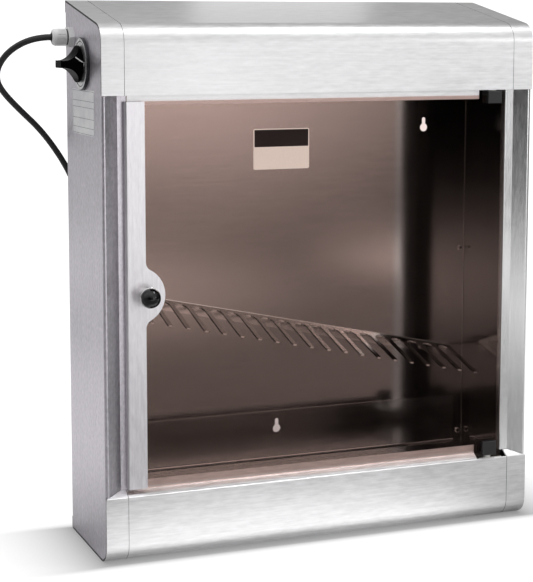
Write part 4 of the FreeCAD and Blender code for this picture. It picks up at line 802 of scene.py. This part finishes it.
def islands(name):
    """Lowest and highest corner of each separate solid in a node."""
    shape = bmesh.new()
    shape.from_mesh(nodes[name].data)
    bmesh.ops.remove_doubles(shape, verts=shape.verts, dist=SAME_PLACE)
    seen = set()
    found = []
    for first in shape.verts:
        if first in seen:
            continue
        seen.add(first)
        stack = [first]
        places = []
        while stack:
            vert = stack.pop()
            places.append(vert.co.copy())
            for edge in vert.link_edges:
                other = edge.other_vert(vert)
                if other not in seen:
                    seen.add(other)
                    stack.append(other)
        found.append([Vector([pick(p[i] for p in places) for i in range(3)])
                      for pick in (min, max)])
    shape.free()
    return found


def recesses(name, body, out, reach, material):
    """Crosses of painted shade in the heads of a node's screws, where their recesses are."""
    up = out.cross(RIGHT)
    arm = rounded_outline(reach, reach / 4, reach / 20, 2)
    shape = bmesh.new()
    for low, high in islands(name):
        middle = (low + high) / 2
        crown = high.y if out.y > 0 else low.y
        middle.y = crown - out.y * PLATE_THICK
        for a, b in ((RIGHT, up), (up, -RIGHT)):
            slab(shape, middle, a, b, arm, 1.15 * PLATE_THICK)
    shown(name + "_recess", shape, material, body)


def details():
    ink, grey, white, shadow = [plastic(name, *PAINTS[name]) for name in
                                ("ink_dark", "ink_grey", "paint_white", "recess_shadow")]
    notice_plate(paper(), ink)
    rating_plate(satin("plate_foil", FOIL_COLOUR, FOIL_ROUGH), grey)
    timer_marks(grey, white)
    for name, body, out, reach in RECESSES:
        recesses(name, body, Vector(out), reach, shadow)


# Studio

def floor_shader():
    """White paper to the camera. In reflections it is darker, with brighter pools of painted
    light.
    """
    made, tree, shader = blank("floor_pale")
    cloud = clouds(tree, FLOOR_CLOUD)
    light = FLOOR_GREY * (1 + FLOOR_SPREAD)
    put(tree, tinted(tree, cloud, (FLOOR_GREY,) * 3, (light,) * 3), shader.inputs["Base Color"])
    put(tree, ranged(tree, cloud, *FLOOR_ROUGH), shader.inputs["Roughness"])
    shader.inputs["Emission Color"].default_value = (1, 1, 1, 1)
    place = own_place(tree)
    level = FLOOR_GLOW
    # pools of painted light, seen in reflections
    for middle, squeeze, (inner, outer), more in PAINTED_LIGHT_POOLS:
        offset = vector(tree, "SUBTRACT", place, (*middle, 0))
        away = vector(tree, "LENGTH", vector(tree, "MULTIPLY", offset, (*squeeze, 0)))
        pool = fade(tree, away, inner, outer, more, 0.0, "SMOOTHSTEP")
        level = combined(tree, "ADD", level, pool)
    glow = between(tree, "FLOAT", seen_by_camera(tree), level, FLOOR_WHITE)
    lit = combined(tree, "MULTIPLY", glow, contact_shadow(tree, place))
    tree.links.new(lit, shader.inputs["Emission Strength"])
    return made


def contact_shadow(tree, place):
    """One far from the cabinet, darker close to its foot and behind it."""
    flat = vector(tree, "MULTIPLY", place, (1, 1, 0))
    beyond = vector(tree, "SUBTRACT", vector(tree, "ABSOLUTE", flat), (*FOOTPRINT, 0))
    outside = vector(tree, "MAXIMUM", beyond, (0, 0, 0))
    away = vector(tree, "LENGTH", vector(tree, "DIVIDE", outside, (*SHADOW_REACH, 1)))
    near = combined(tree, "EXPONENT", combined(tree, "MULTIPLY", away, -1.0))
    close = combined(tree, "SUBTRACT", 1.0, combined(tree, "MULTIPLY", near, SHADOW_DEPTH))
    back = split(tree, flat)["Y"]
    across = vector(tree, "DOT_PRODUCT", flat, (1, -SHADE_SLANT, 0))
    skewed = add(tree, "ShaderNodeCombineXYZ", X=across, Y=back).outputs[0]
    offset = vector(tree, "SUBTRACT", skewed, (*SHADE_MIDDLE, 0))
    far = vector(tree, "LENGTH", vector(tree, "DIVIDE", offset, (*SHADE_REACH, 1)))
    shade = combined(tree, "MULTIPLY", fade(tree, far, 0.0, 1.0, SHADE_DEPTH, 0.0, "SMOOTHSTEP"),
                     fade(tree, back, *SHADE_BEHIND))
    return combined(tree, "MULTIPLY", close, combined(tree, "SUBTRACT", 1.0, shade))


def floor():
    shape = bmesh.new()
    bmesh.ops.create_circle(shape, cap_ends=True, radius=FLOOR_REACH, segments=FLOOR_SIDES)
    mesh = bpy.data.meshes.new("studio_floor")
    shape.to_mesh(mesh)
    shape.free()
    mesh.materials.append(floor_shader())
    placed("studio_floor", mesh)


def softbox(name, place, aim, size, radiance, fades):
    light = bpy.data.lights.new(name, "AREA")
    light.shape = "RECTANGLE"
    light.size, light.size_y = size
    light.energy = radiance * math.pi * size[0] * size[1]
    light.use_nodes = True
    tree = light.node_tree
    spot = split(tree, add(tree, "ShaderNodeNewGeometry").outputs["Position"])
    level = 1.0
    for axis, start, end, share in fades:
        level = combined(tree, "MULTIPLY", level, fade(tree, spot[axis], start, end, 1.0, share))
    put(tree, level, tree.nodes["Emission"].inputs["Strength"])
    made = placed(name, light)
    made.location = place
    made.rotation_euler = (Vector(aim) - Vector(place)).to_track_quat("-Z", "Y").to_euler()
    made.visible_camera = False


def surroundings():
    """A room with its own light from each side, and plain white to the camera."""
    world = bpy.data.worlds.new("studio")
    world.use_nodes = True
    tree = world.node_tree
    way = add(tree, "ShaderNodeTexCoord").outputs["Generated"]
    level = 0.0
    for direction, start, radiance in SKY:
        cosine = vector(tree, "DOT_PRODUCT", way, Vector(direction).normalized())
        level = combined(tree, "ADD", level, fade(tree, cosine, start, 1.0, 0.0, radiance))
    room = tree.nodes["Background"]
    room.inputs["Color"].default_value = (1, 1, 1, 1)
    strength = between(tree, "FLOAT", seen_by_camera(tree), level, ROOM_WHITE)
    tree.links.new(strength, room.inputs["Strength"])
    bpy.context.scene.world = world


def studio():
    floor()
    for light in LIGHTS:
        softbox(*light)
    surroundings()
    bpy.context.scene.view_settings.view_transform = "Standard"


camera()
mains_lead()
finish_all()
details()
studio()
